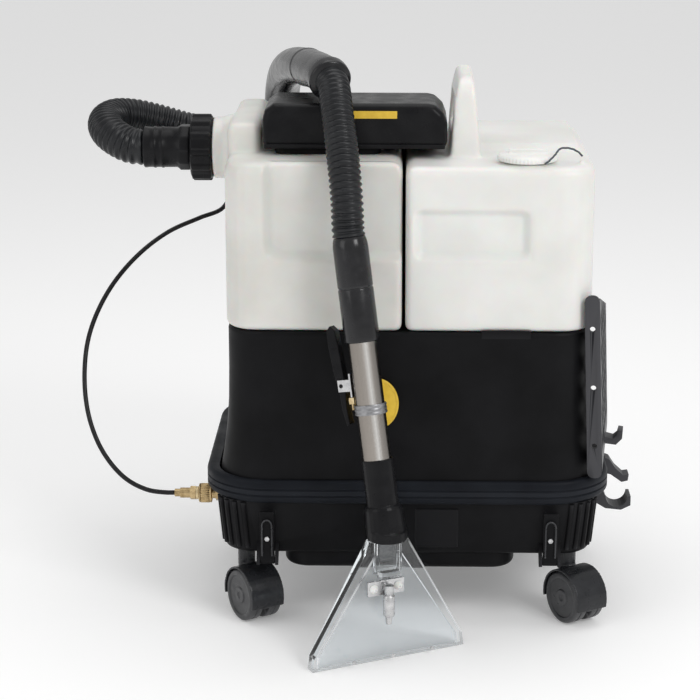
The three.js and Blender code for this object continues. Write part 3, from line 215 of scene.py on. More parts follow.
def add_grain(finish, size, height, stretch=(1, 1, 1)):
    """A fine relief, height millimetres deep."""
    links = finish.node_tree.links
    bump = add_node(finish, "ShaderNodeBump", Distance=height / 1000, Strength=1.0)
    links.new(speckle(finish, size, 2.0, stretch), bump.inputs["Height"])
    links.new(bump.outputs["Normal"], finish.node_tree.nodes["Principled BSDF"].inputs["Normal"])


def wear_edges(finish, ramp, colour, start=0.53, end=0.6):
    """Edges that stick out are rubbed to another colour."""
    links = finish.node_tree.links
    shape = add_node(finish, "ShaderNodeNewGeometry")
    span = add_node(finish, "ShaderNodeMapRange", From_Min=start, From_Max=end)
    blend = finish.node_tree.nodes.new("ShaderNodeMix")
    blend.data_type = "RGBA"
    blend.inputs["B"].default_value = (*colour, 1)
    links.new(shape.outputs["Pointiness"], span.inputs["Value"])
    links.new(span.outputs["Result"], blend.inputs["Factor"])
    links.new(ramp.outputs["Color"], blend.inputs["A"])
    links.new(blend.outputs["Result"], finish.node_tree.nodes["Principled BSDF"].inputs["Base Color"])


# %% [markdown]
# ### Black mouldings
# The housing and tray are black polypropylene with a soft satin skin, so little light comes back from
# them. The belt is a bluer, softer plastic. The suction head is smoother and shows a clear highlight. The
# base colour is close to black, and the specular level is low because a spark-eroded mould leaves a skin
# that scatters light.

# %% Black mouldings
black_shell = new_finish("black_shell", (0.008, 0.008, 0.009), 0.45, Specular_IOR_Level=0.09)
shell_tone = vary_tone(black_shell, 60, (0.0045, 0.0045, 0.005), (0.008, 0.008, 0.009))
wear_edges(black_shell, shell_tone, (0.02, 0.02, 0.022))
vary_gloss(black_shell, 35, 0.4, 0.52)
add_grain(black_shell, 0.9, 0.03)

belt_finish = new_finish("belt", (0.008, 0.009, 0.012), 0.5, Specular_IOR_Level=0.1)
belt_tone = vary_tone(belt_finish, 40, (0.006, 0.007, 0.01), (0.01, 0.012, 0.016))
wear_edges(belt_finish, belt_tone, (0.03, 0.033, 0.04))
vary_gloss(belt_finish, 20, 0.42, 0.56)
add_grain(belt_finish, 0.8, 0.02)

head_black = new_finish("head_black", (0.006, 0.006, 0.007), 0.3, Specular_IOR_Level=0.13)
head_tone = vary_tone(head_black, 30, (0.006, 0.006, 0.007), (0.012, 0.012, 0.013))
wear_edges(head_black, head_tone, (0.025, 0.025, 0.027))
vary_gloss(head_black, 18, 0.24, 0.38)
add_grain(head_black, 1.4, 0.02)

rack_finish = new_finish("rack", (0.008, 0.008, 0.01), 0.4, Specular_IOR_Level=0.16)
rack_tone = vary_tone(rack_finish, 25, (0.006, 0.006, 0.008), (0.011, 0.012, 0.014))
wear_edges(rack_finish, rack_tone, (0.06, 0.06, 0.065))
add_grain(rack_finish, 0.7, 0.02)

charcoal = new_finish("charcoal", (0.016, 0.017, 0.019), 0.3, Specular_IOR_Level=0.35)
charcoal_tone = vary_tone(charcoal, 20, (0.012, 0.013, 0.015), (0.021, 0.022, 0.025))
wear_edges(charcoal, charcoal_tone, (0.09, 0.09, 0.095))
vary_gloss(charcoal, 12, 0.22, 0.36)

wheel_finish = new_finish("wheel", (0.03, 0.031, 0.034), 0.35)
wheel_tone = vary_tone(wheel_finish, 15, (0.022, 0.023, 0.025), (0.042, 0.043, 0.047))
wear_edges(wheel_finish, wheel_tone, (0.1, 0.1, 0.105))
vary_gloss(wheel_finish, 8, 0.26, 0.48)
add_grain(wheel_finish, 0.6, 0.015)

rubber = new_finish("rubber", (0.008, 0.008, 0.008), 0.7, Specular_IOR_Level=0.12)
vary_tone(rubber, 12, (0.006, 0.006, 0.006), (0.012, 0.012, 0.012))
add_grain(rubber, 0.5, 0.03)

# %% [markdown]
# ### Milky tank plastic
# The tanks are blown from natural polyethylene: milky, slightly warm, and lit from inside where light
# soaks through the wall. Subsurface scattering with a radius of some millimetres gives that glow. The
# used-water tank's colour is painted a touch greyer than the clean one's, as painted shade of its hollow.

# %% Milky tank plastic
# Painted shade: this tank's base colour is set greyer than the clean tank's, standing for the dim hollow seen
# through its wall.
recovery_finish = new_finish(
    "recovery_tank", (0.71, 0.7, 0.66), 0.38, Subsurface_Weight=0.35, Subsurface_Scale=0.006,
)
vary_tone(recovery_finish, 70, (0.66, 0.65, 0.61), (0.75, 0.745, 0.71))
vary_gloss(recovery_finish, 40, 0.32, 0.46)
add_grain(recovery_finish, 6, 0.05)

solution_finish = new_finish(
    "solution_tank", (0.78, 0.775, 0.75), 0.36, Subsurface_Weight=0.35, Subsurface_Scale=0.006,
)
vary_tone(solution_finish, 80, (0.74, 0.735, 0.705), (0.82, 0.815, 0.79))
vary_gloss(solution_finish, 40, 0.3, 0.44)
add_grain(solution_finish, 6, 0.05)

white_trim = new_finish("white_trim", (0.82, 0.82, 0.8), 0.38, Subsurface_Weight=0.1, Subsurface_Scale=0.003)
vary_tone(white_trim, 18, (0.78, 0.78, 0.75), (0.85, 0.85, 0.83))
add_grain(white_trim, 0.8, 0.015)

yellow = new_finish("yellow", (0.78, 0.5, 0.04), 0.35)
vary_tone(yellow, 9, (0.72, 0.46, 0.035), (0.82, 0.55, 0.05))
add_grain(yellow, 0.6, 0.01)

# %% [markdown]
# ### Hoses, grip and cords
# The suction hose is flexible black polyethylene with a wet-looking shine on each rib. The grip is
# glossy, the solution line is smooth, and the cap's tether is a thin blue-grey braid.

# %% Hoses, grip and cords
hose_finish = new_finish("hose", (0.012, 0.013, 0.015), 0.24, Specular_IOR_Level=0.32)
vary_tone(hose_finish, 25, (0.006, 0.0065, 0.008), (0.013, 0.014, 0.016))
vary_gloss(hose_finish, 14, 0.24, 0.4)

line_finish = new_finish("line", (0.009, 0.009, 0.01), 0.3, Specular_IOR_Level=0.25)
vary_tone(line_finish, 10, (0.007, 0.007, 0.008), (0.014, 0.014, 0.015))
vary_gloss(line_finish, 6, 0.25, 0.42)

tether_finish = new_finish("tether", (0.05, 0.055, 0.07), 0.55)
vary_tone(tether_finish, 1.2, (0.03, 0.034, 0.045), (0.1, 0.105, 0.125))

grip_finish = new_finish("grip", (0.008, 0.008, 0.009), 0.16, Specular_IOR_Level=0.42)
vary_tone(grip_finish, 20, (0.006, 0.006, 0.007), (0.013, 0.013, 0.015))
vary_gloss(grip_finish, 10, 0.16, 0.3)
add_grain(grip_finish, 1.2, 0.008)

# %% [markdown]
# ### Metals and clear plastic
# The wand tube is polished stainless steel, drawn lengthways, so its fine lines run along the tube. Its
# colour carries a painted reflection that runs dark, bright, dark round it, as a lamp between two dark
# sides of a room would show. Fasteners and brackets are plain plated steel, the couplings are brass that
# has dulled in places, and the upholstery head is clear acrylic with a faint blue tint, slightly frosted by
# handling.

# %% Metals
steel = new_finish("steel", (0.6, 0.6, 0.6), 0.3, Metallic=1.0)
vary_tone(steel, 6, (0.52, 0.52, 0.53), (0.66, 0.66, 0.66))
vary_gloss(steel, 3, 0.22, 0.4)

wand_steel = new_finish("wand_steel", (0.5, 0.47, 0.43), 0.22, Metallic=1.0)
vary_gloss(wand_steel, 1.5, 0.16, 0.3, stretch=(0.25, 0.25, 8))
# Painted reflection: the tube's colour runs dark, bright, dark across it, set by which way the surface faces
# sideways, standing for a lamp between two dark sides of the room.
facing = add_node(wand_steel, "ShaderNodeNewGeometry")
sideways = add_node(wand_steel, "ShaderNodeSeparateXYZ")
painted_reflection_across = add_node(wand_steel, "ShaderNodeMapRange", From_Min=-1.0, From_Max=1.0)
painted_reflection = add_node(wand_steel, "ShaderNodeValToRGB")
painted_reflection.color_ramp.elements[0].color = (0.2, 0.18, 0.16, 1)
painted_reflection.color_ramp.elements[1].color = (0.14, 0.13, 0.12, 1)
for place, tone in (
    (0.3, (0.33, 0.3, 0.27)), (0.46, (0.5, 0.46, 0.42)), (0.6, (0.88, 0.86, 0.83)), (0.74, (0.4, 0.37, 0.34)),
):
    painted_reflection.color_ramp.elements.new(place).color = (*tone, 1)
wand_shader = wand_steel.node_tree.nodes["Principled BSDF"]
for source, target in (
    (facing.outputs["Normal"], sideways.inputs["Vector"]), (sideways.outputs["X"], painted_reflection_across.inputs["Value"]),
    (painted_reflection_across.outputs["Result"], painted_reflection.inputs["Fac"]),
    (painted_reflection.outputs["Color"], wand_shader.inputs["Base Color"]),
):
    wand_steel.node_tree.links.new(source, target)

band_finish = new_finish("band", (0.3, 0.3, 0.31), 0.45, Metallic=1.0)
vary_tone(band_finish, 4, (0.25, 0.25, 0.26), (0.36, 0.36, 0.37))
vary_gloss(band_finish, 2, 0.35, 0.55)

motor_metal = new_finish("motor_metal", (0.42, 0.43, 0.44), 0.4, Metallic=1.0)
vary_tone(motor_metal, 12, (0.36, 0.37, 0.38), (0.48, 0.49, 0.5))
vary_gloss(motor_metal, 5, 0.3, 0.5)

brass = new_finish("brass", (0.5, 0.36, 0.17), 0.32, Metallic=1.0)
brass_tone = vary_tone(brass, 5, (0.36, 0.25, 0.12), (0.6, 0.45, 0.24))
wear_edges(brass, brass_tone, (0.75, 0.6, 0.36))
vary_gloss(brass, 2, 0.24, 0.46)

# %% Clear plastic
clear = new_finish("clear", (0.96, 0.985, 1.0), 0.05, IOR=1.49, Transmission_Weight=1.0)
vary_gloss(clear, 25, 0.02, 0.09)
print("finishes:", len(bpy.data.materials))

# %% [markdown]
# ## Tools for shapes
# Four ways of making a shape cover nearly the whole machine. A skin runs through outlines at rising
# heights, for moulded boxes. A turned shape spins a profile round an axis. A tube follows a route. A slab
# gives an outline some thickness. Shapes are joined and carved with booleans, and a fine voxel remesh
# with a little smoothing rounds every edge, as a mould or a hand file would.

# %% Shapes from points
def new_shape(name, points, faces, place=machine):
    """A closed mesh from points in the millimetres of one place, with its faces turned outwards."""
    work = bmesh.new()
    corners = [work.verts.new(place @ Vector(point)) for point in points]
    for face in faces:
        work.faces.new([corners[corner] for corner in face])
    bmesh.ops.remove_doubles(work, verts=work.verts, dist=1e-6)
    bmesh.ops.recalc_face_normals(work, faces=work.faces)
    mesh = bpy.data.meshes.new(name)
    work.to_mesh(mesh)
    work.free()
    shape = bpy.data.objects.new(name, mesh)
    bpy.context.scene.collection.objects.link(shape)
    return shape


def settle(shape):
    """Makes what the modifiers show the mesh itself."""
    seen = bpy.data.meshes.new_from_object(shape.evaluated_get(bpy.context.evaluated_depsgraph_get()))
    shape.modifiers.clear()
    shape.data = seen
    return shape


def combine(base, how, *others, solver="MANIFOLD"):
    """Joins ("UNION") or carves ("DIFFERENCE") base with the others, which are used up."""
    for other in others:
        step = base.modifiers.new(how, "BOOLEAN")
        step.operation, step.object, step.solver = how, other, solver
    settle(base)
    for other in others:
        bpy.data.objects.remove(other)
    return base


def soften(shape, voxel, passes):
    """Remeshes a shape with voxels of that many millimetres and smooths it."""
    grid = shape.modifiers.new("grid", "REMESH")
    grid.mode, grid.voxel_size = "VOXEL", voxel / 1000
    relax = shape.modifiers.new("relax", "SMOOTH")
    relax.iterations = passes
    return settle(shape)


def copy_of(node):
    """A free copy of a CAD solid, to work on."""
    shape = bpy.data.objects.new(node + "_made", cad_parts[node].data.copy())
    bpy.context.scene.collection.objects.link(shape)
    return shape


made_anew = set()


def dress(shape, name, finish, body="machine", stands_for=(), sharp=None):
    """Names a piece, gives it its finish and puts it on its body."""
    shape.name = name
    shape.data.materials.clear()
    shape.data.materials.append(finish)
    shape.data.polygons.foreach_set("use_smooth", [True] * len(shape.data.polygons))
    if sharp:
        shape.data.set_sharp_from_angle(angle=math.radians(sharp))
    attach(shape, body)
    if stands_for:
        nodes = [stands_for] if isinstance(stands_for, str) else stands_for
        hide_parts(*nodes)
        made_anew.update(nodes)
    size = [round(1000 * value) for value in shape.dimensions]
    print(f"{name}: {size[0]} x {size[1]} x {size[2]} mm, {len(shape.data.polygons)} faces")
    return shape


# %% Skins and blocks
def rounded_outline(x, y, radii, steps=12):
    """A rectangle with rounded corners, counter-clockwise. radii go +x+y, -x+y, -x-y, +x-y."""
    corners = (
        (x[1], y[1], -1, -1, 0), (x[0], y[1], 1, -1, 90), (x[0], y[0], 1, 1, 180), (x[1], y[0], -1, 1, 270),
    )
    outline = []
    for (corner_x, corner_y, in_x, in_y, start), radius in zip(corners, radii):
        for step in range(steps + 1):
            turn = math.radians(start + 90 * step / steps)
            outline.append((
                corner_x + radius * (in_x + math.cos(turn)), corner_y + radius * (in_y + math.sin(turn)),
            ))
    return outline


def skin(name, levels, place=machine):
    """A closed skin through (height, outline) levels."""
    points = [(x, y, height) for height, outline in levels for x, y in outline]
    count = len(levels[0][1])
    faces = [tuple(reversed(range(count))), tuple(range(len(points) - count, len(points)))]
    for level in range(len(levels) - 1):
        for side in range(count):
            low, following = level * count + side, level * count + (side + 1) % count
            faces.append((low, following, following + count, low + count))
    return new_shape(name, points, faces, place)


def block(x, y, z, corner=1.0, radii=None, top_rim=0, foot_rim=0, steps=12, place=machine):
    """An upright block with rounded corners and, if asked, rounded rims."""
    radii = radii or [corner] * 4
    levels = []
    for rim, edge, way in ((foot_rim, z[0], 1), (top_rim, z[1], -1)):
        turns = [math.radians(90 * step / 6) for step in range(7)] if rim else [math.radians(90)]
        ring = [(rim * (1 - math.sin(turn)), edge + way * rim * (1 - math.cos(turn))) for turn in turns]
        levels += ring if way == 1 else ring[::-1]
    return skin("block", [
        (height, rounded_outline(
            (x[0] + inset, x[1] - inset), (y[0] + inset, y[1] - inset),
            [max(radius - inset, 0.4) for radius in radii], steps,
        )) for inset, height in levels
    ], place)


# %% Turned shapes, tubes and slabs
def turned(name, profile, centre=(0, 0, 0), axis="z", sides=48, place=machine, ribs=None):
    """Spins (radius, distance) pairs round an axis. ribs(turn, distance) may add to the radius."""
    quarter = math.pi / 2
    turn_axis = {
        "x": Matrix.Rotation(quarter, 4, "Y"), "y": Matrix.Rotation(-quarter, 4, "X"),
        "z": Matrix.Identity(4),
    }
    spot = place @ Matrix.Translation(centre) @ turn_axis[axis]
    points, faces = [], []
    for radius, distance in profile:
        for side in range(sides):
            turn = 2 * math.pi * side / sides
            reach = radius + (ribs(turn, distance) if ribs and radius > 0.01 else 0)
            points.append((reach * math.cos(turn), reach * math.sin(turn), distance))
    for ring in range(len(profile) - 1):
        for side in range(sides):
            low, following = ring * sides + side, ring * sides + (side + 1) % sides
            faces.append((low, following, following + sides, low + sides))
    if profile[0] != profile[-1]:
        faces += [tuple(reversed(range(sides))), tuple(range(len(points) - sides, len(points)))]
    return new_shape(name, points, faces, spot)


def smooth_route(route, spacing):
    """Evenly spaced points on one smooth curve through a route's points, and how far along each one lies."""
    points = np.array(route, float)
    points = np.vstack([2 * points[0] - points[1], points, 2 * points[-1] - points[-2]])
    dense = []
    for before, start, end, after in zip(points, points[1:], points[2:], points[3:]):
        steps = (start - before, end - start, after - end)
        gap_in, gap, gap_out = (np.linalg.norm(step) ** 0.5 for step in steps)
        leave = gap * ((start - before) / gap_in - (end - before) / (gap_in + gap) + (end - start) / gap)
        arrive = gap * ((end - start) / gap - (after - start) / (gap + gap_out) + (after - end) / gap_out)
        for t in np.linspace(0, 1, 24, endpoint=False):
            dense.append(
                (2 * t**3 - 3 * t**2 + 1) * start + (t**3 - 2 * t**2 + t) * leave
                + (3 * t**2 - 2 * t**3) * end + (t**3 - t**2) * arrive
            )
    dense = np.array([*dense, points[-2]])
    along = np.concatenate([[0], np.cumsum(np.linalg.norm(np.diff(dense, axis=0), axis=1))])
    marks = np.linspace(0, along[-1], int(along[-1] / spacing) + 1)
    return np.stack([np.interp(marks, along, dense[:, axis]) for axis in range(3)], axis=1), marks


def tube(name, route, spacing, radius_at, sides=24, place=machine, ridge=None):
    """A closed tube along a route, of radius_at(along, whole), to which ridge(turn, along) may add."""
    path, marks = smooth_route(route, spacing)
    heading = np.gradient(path, axis=0)
    heading /= np.linalg.norm(heading, axis=1)[:, None]
    out = np.cross(heading[0], (0, 0, 1) if abs(heading[0][2]) < 0.9 else (1, 0, 0))
    points, faces = [], []
    for centre, ahead, along in zip(path, heading, marks):
        out = out - ahead * out.dot(ahead)
        out /= np.linalg.norm(out)
        across = np.cross(ahead, out)
        for side in range(sides):
            turn = 2 * math.pi * side / sides
            reach = radius_at(along, marks[-1]) + (ridge(turn, along) if ridge else 0)
            points.append(tuple(centre + reach * (math.cos(turn) * out + math.sin(turn) * across)))
    for ring in range(len(path) - 1):
        for side in range(sides):
            low, following = ring * sides + side, ring * sides + (side + 1) % sides
            faces.append((low, following, following + sides, low + sides))
    faces += [tuple(reversed(range(sides))), tuple(range(len(points) - sides, len(points)))]
    return new_shape(name, points, faces, place), path, marks[-1]


def slab(name, outline, thickness, across="y", place=machine):
    """An outline with some thickness, drawn in (x, z) to run along y, or in (y, z) to run along x."""
    order = {"y": lambda a, b, c: (a, c, b), "x": lambda a, b, c: (c, a, b)}[across]
    count = len(outline)
    points = [order(a, b, c) for c in thickness for a, b in outline]
    faces = [tuple(range(count)), tuple(reversed(range(count, 2 * count)))]
    faces += [(side, side + count, (side + 1) % count + count, (side + 1) % count) for side in range(count)]
    return new_shape(name, points, faces, place)

# %% [markdown]
# ## The suction hose
# One ribbed hose runs from the cuff on the used-water tank, round the back and down in a big loop, up
# through the stiff elbow and over the top to the wand's grip. It is 46 mm across behind and 39 mm in
# front, where a lighter hose is used. Its ribs stand 7.3 mm apart. It is drawn as one tube whose radius
# rises and falls along its route, so that every rib is a real ridge that catches the light.

# %% Suction hose
hose_route = [
    (-334.7, 0, 570.4), (-342, 0, 570.4), (-354, 3, 572.5), (-368, 10, 578), (-381, 24, 584.5),
    (-388.5, 45, 590.5), (-388, 68, 594.5), (-378, 90, 596), (-356, 106, 592.5), (-328, 116, 584.5),
    (-290, 126, 572), (-252, 153, 560), (-221, 186, 549), (-178, 198, 538), (-118, 210, 528),
    (-60, 226, 520), (0, 240, 513), (62, 244, 503), (118, 245, 473), (160, 245, 424), (180, 245, 364),
    (177, 245, 300), (152, 245, 240), (108, 245, 192), (52, 245, 163), (-8, 245, 156), (-66, 245, 170),
    (-118, 245, 203), (-154, 245, 250), (-172, 245, 308), (-176, 246, 370), (-176, 248, 432),
    (-175, 250, 492), (-174, 250, 530),
]
elbow_route = [
    (-174, 250, 545.2), (-174, 250, 556), (-173.5, 246, 578), (-172, 233, 602), (-168.5, 209, 624),
    (-163, 174, 641), (-155, 132, 654), (-145, 84, 663), (-133, 34, 668.5), (-120.5, -14, 671.8),
    (-108, -59, 673), (-98.9, -91.1, 672), (-95, -104, 668.2),
]
front_route = [
    (-91.45, -115.7, 664.8), (-89, -131, 656), (-86.5, -149, 641), (-83, -167, 622), (-79.2, -186, 598),
    (-75.8, -203, 571), (-73, -213, 541), (-71.7, -216.7, 512), (-70.6, -218.2, 502.2),
]
back_length = smooth_route([*hose_route, elbow_route[0]], 1)[1][-1]
elbow_length = smooth_route(elbow_route, 1)[1][-1]
rib_pitch, rib_depth = 7.3, 2.5
back_radius, front_radius, hidden_radius = 23.0, 19.6, 19.0


def hose_radius(along, whole):
    """Full ribs behind and in front, and a smooth thin stretch where the elbow covers the hose."""
    front_start = back_length + elbow_length
    if back_length + 12 < along < front_start - 10:
        return hidden_radius
    crest = back_radius if along < front_start - 10 else front_radius
    groove = (0.5 + 0.5 * math.cos(2 * math.pi * along / rib_pitch)) ** 1.3
    return crest - rib_depth * groove


hose, hose_path, hose_length = tube(
    "hose", [*hose_route, *elbow_route, *front_route], rib_pitch / 8, hose_radius, sides=28,
)
dress(hose, "ribbed_hose", hose_finish, stands_for=("suction_hose", "suction_hose_front"))
print("hose length", round(hose_length / 1000, 3), "m")

# %% [markdown]
# ### The elbow over the top
# A stiff smooth tube with a collar at each end and a moulded seam bead. A small gland on its lower collar
# lets the solution line in, which then runs inside the hose to the wand.

# %% Elbow over the top
def elbow_radius(along, whole):
    """Collar, plain tube with one seam bead, then a wider ring at the front end."""
    collar = 2.6 * (1 - min(max((along - 17) / 5, 0), 1))
    bead = 1.1 * math.exp(-(((along - 0.72 * whole) / 2.2) ** 2))
    ring = 2.6 * min(max((along - whole + 15) / 1.5, 0), 1)
    mouth = -1.6 * max(1 - along / 2.5, 0) - 1.6 * max(1 - (whole - along) / 2.5, 0)
    return 23.4 + collar + bead + ring + mouth


elbow = tube("elbow", elbow_route, 1.6, elbow_radius, sides=48)[0]
gland_profile = [(5.2, 0), (6.2, 0.8), (6.2, 7), (5.2, 7.6), (5.2, 9), (7.2, 9.8), (7.2, 20)]


def gland_grips(turn, along):
    return 0.3 * math.cos(12 * turn) if along < 7 else 0


gland = turned("gland", gland_profile, centre=(-202, 249, 575), axis="x", sides=30, ribs=gland_grips)
dress(elbow, "hose_bend", grip_finish, stands_for="hose_elbow")
dress(gland, "line_gland", rubber, sharp=40)

# %% [markdown]
# ### The solution line
# A thin smooth tube carries cleaning solution from the brass coupler to the wand. It hangs out to the
# left in one wide bow, climbs behind the machine and enters the gland on the elbow.

# %% Solution line
line_route = [
    (-294.6, -100, 144.6), (-306, -100, 144.6), (-330, -99, 148), (-358, -95, 162), (-385, -85, 191),
    (-403, -70, 227), (-412, -50, 267), (-412, -25, 313), (-404, 0, 346), (-385, 35, 382), (-355, 75, 414),
    (-319, 120, 436), (-281, 160, 447), (-252, 188, 455), (-241, 206, 474), (-238, 224, 503),
    (-238, 238, 536), (-233, 246, 559), (-222, 249, 571.5), (-211, 249, 575), (-202.8, 249, 575),
]
line_radius = 3.0
line, line_path, line_length = tube("line", line_route, 4, lambda along, whole: line_radius, sides=14)
dress(line, "feed_line", line_finish, stands_for="solution_line")
print("line length", round(line_length / 1000, 3), "m")

# %% [markdown]
# ### The cap's tether
# A short braid keeps the filler cap from getting lost. It leaves the cap's edge and ends at a small loop
# on the tank's shoulder. Its strands wind round each other, so its surface has a slow twist.

# %% Cap tether
tether_route = [
    (160, -170.2, 580.6), (164, -173, 584), (171, -170, 590.5), (180, -152, 596), (192, -147, 595),
    (201, -145, 590.5), (206, -145, 585.6),
]
tether, tether_path, tether_length = tube(
    "tether", tether_route, 0.5, lambda along, whole: 1.15, sides=16,
    ridge=lambda turn, along: 0.16 * math.cos(3 * turn - 2 * math.pi * along / 7),
)
dress(tether, "tether_braid", tether_finish, stands_for="cap_tether")
print("tether length", round(tether_length / 1000, 4), "m")

# %% [markdown]
# ## Housing
# A thin moulded shell that flares a little where it meets the belt, with wide rounded corners and a soft
# top rim. It is one skin with a smaller skin carved out of it, then the openings for the duct, the grille
# and the switches. A fine skin gives smoother corners than the CAD solid, whose corners have few facets.

# %% Housing
housing_foot, housing_top = 162, 376
flare_at = [(0, 14), (24, 13), (50, 8.4), (85, 3.5), (120, 0.8), (160, 0), (206, 0)]
corner_at = [(0, 65), (24, 63), (50, 57), (85, 51), (120, 47), (160, 46), (206, 46)]


def housing_levels(inset, low, high):
    levels = []
    for rise in [*range(0, 206, 10), 206, 208, 210, 212, 213.2, 214]:
        flare = np.interp(rise, *zip(*flare_at))
        rim = 4 - math.sqrt(max(16 - max(rise - 210, 0) ** 2, 0))
        reach_x, reach_y = 220 + flare - rim - inset, 180 + 0.3 * flare - rim - inset
        corner = np.interp(rise, *zip(*corner_at)) - rim - inset
        height = low if rise == 0 else high if rise == 214 else housing_foot + rise
        levels.append((height, rounded_outline((-reach_x, reach_x), (-reach_y, reach_y), [corner] * 4, 18)))
    return levels


housing = combine(
    combine(
        skin("housing", housing_levels(0, housing_foot, housing_top)), "UNION",
        block((88, 147), (-180.5, -178.4), (369, 379), corner=0.8, top_rim=0.7),
    ),
    "DIFFERENCE",
    skin("inside", housing_levels(4, housing_foot - 1, housing_top - 5)),
    block((-33.4, 33.4), (87.6, 160.4), (350, 400)),
    block((-150, -50), (160, 200), (238, 312)),
    block((50, 150), (160, 200), (244, 304)),
)
dress(housing, "black_housing", black_shell, stands_for="body_housing", sharp=30)

# %% [markdown]
# ## Bumper belt
# A thick soft-edged belt all round, so that the machine doesn't mark a doorway. Two fine grooves run
# along it and its upper edge is well rounded.

# %% Bumper belt
def belt_levels():
    levels = [(0, 4), (1, 2), (2, 0.9), (4, 0)]
    for groove in (9, 17):
        cut_at = [(-1.3, 0), (-0.7, 1.2), (0, 1.7), (0.7, 1.2), (1.3, 0)]
        levels += [(groove + shift, deep) for shift, deep in cut_at]
    levels += [(22, 0), (24, 0.3), (25.5, 0.9), (27, 1.9), (28.2, 3.3), (29, 5.2)]
    return [(top_of_tray + rise, rounded_outline(
        (-251 + inset, 251 - inset), (-190 + 0.6 * inset, 190 - 0.6 * inset), [82 - inset] * 4, 24,
    )) for rise, inset in levels]


belt = combine(
    skin("belt", belt_levels()), "DIFFERENCE",
    block((-235, 235), (-184.8, 184.8), (160, 192), corner=65, steps=24),
)
dress(belt, "bumper", belt_finish, stands_for="bumper_belt", sharp=50)

# %% [markdown]
# ## Tray
# The bottom tray is deeper in the middle, where the pump and motor sit. Fluted corners stiffen it, and a
# shallow raised panel breaks its long front. Its ears carry the latches and its sockets take the casters.

# %% Tray
tray_height, tray_corner = 69, 36


def tray_reach(rise):
    """Half the tray's width and depth at a height above its floor."""
    lean = 6 * (1 - rise / tray_height)
    return 233 - lean, 180 - lean


def tray_levels(inset, low, high):
    levels = []
    for rise, rim in ((0, 4), (1.5, 1.6), (3, 0.6), (5, 0), (tray_height, 0)):
        reach_x, reach_y = (reach - inset - rim for reach in tray_reach(rise))
        height = floor_of_tray + rise + (5 if inset else 0)
        height = low if rise == 0 else high if rise == tray_height else height
        levels.append((height, rounded_outline(
            (-reach_x, reach_x), (-reach_y, reach_y), [tray_corner - inset - rim] * 4, 18,
        )))
    return levels


def corner_flutes():
    """Upright half-round ribs along each corner of the tray, leaning with its wall."""
    flutes = []
    for side_x in (-1, 1):
        for side_y in (-1, 1):
            for turn in (8, 26, 45, 64, 82):
                ends = []
                for rise in (7, 38, 67):
                    reach_x, reach_y = tray_reach(rise)
                    ends.append((
                        side_x * (reach_x - tray_corner + (tray_corner + 0.4) * math.cos(math.radians(turn))),
                        side_y * (reach_y - tray_corner + (tray_corner + 0.4) * math.sin(math.radians(turn))),
                        floor_of_tray + rise,
                    ))
                flutes.append(tube("flute", ends, 6, lambda along, whole: 3.0, sides=14)[0])
    return flutes


def panel_outline(height, rim):
    front = -tray_reach(height - floor_of_tray)[1] - 1.3
    return rounded_outline((9 + rim, 64 - rim), (front + rim, -160), [3] * 4, 6)


panel_levels = ((101, 1.4), (102.5, 0), (152, 0), (153.5, 1.4))
panel = skin("panel", [(height, panel_outline(height, rim)) for height, rim in panel_levels])
tray = combine(
    skin("tray", tray_levels(0, floor_of_tray, top_of_tray)), "UNION",
    block((-152, 134), (-168, 168), (70.6, 98.6), corner=30, foot_rim=8), panel, *corner_flutes(),
)
tray = combine(
    tray, "DIFFERENCE",
    skin("inside", tray_levels(5, 97.6, 163)),
    block((-147, 129), (-163, 163), (75.6, 100), corner=25),
)
ear_outline = [
    (-171, latch_pivot_z + 10), (-171, latch_pivot_z + 26), (latch_pivot_y, latch_pivot_z + 10),
    (latch_pivot_y - 5, latch_pivot_z + 4), (latch_pivot_y - 5, latch_pivot_z - 4),
    (latch_pivot_y, latch_pivot_z - 6), (latch_pivot_y + 6, latch_pivot_z - 2),
]
pivot_spot = (0, latch_pivot_y, latch_pivot_z)
ears = []
for latch_x in latch_spots.values():
    for side in (-1, 1):
        near, far = sorted((latch_x + side * 9.35, latch_x + side * 13.35))
        ears.append(combine(
            slab("ear", ear_outline, (near, far), "x"), "DIFFERENCE",
            turned("pivot", [(2.95, near - 1), (2.95, far + 1)], centre=pivot_spot, axis="x", sides=24),
        ))
caster_centres = [(x, y, 0) for x, y in caster_spots.values()]
tray = combine(
    tray, "UNION", *ears,
    *[turned("boss", [(14, 93.6), (15.5, 95), (15.5, 132)], centre=centre) for centre in caster_centres],
)
tray = combine(
    tray, "DIFFERENCE",
    *[turned("socket", [(9.85, 80), (9.85, 126)], centre=centre, sides=24) for centre in caster_centres],
    turned("line_hole", [(9, -250), (9, -216)], centre=(0, coupler_y, coupler_z), axis="x"),
)
dress(tray, "deep_tray", black_shell, stands_for="base_tray", sharp=35)

# %% [markdown]
# ## Tanks
# Each tank is blown in one piece, so every edge is soft and wide, and shallow recesses stiffen its front.
# The CAD solid already has the walls, the flange, the shoulder and the handle. A voxel remesh with
# smoothing turns its facets into one soft skin, and the clean tank's hollow is carved again so that its
# walls stay even. The recess is pressed in at the end by moving points of the front wall, as the mould
# would.

# %% Recesses in a tank's front
tank_front, tank_back, tank_foot = -178, 172, 376.4


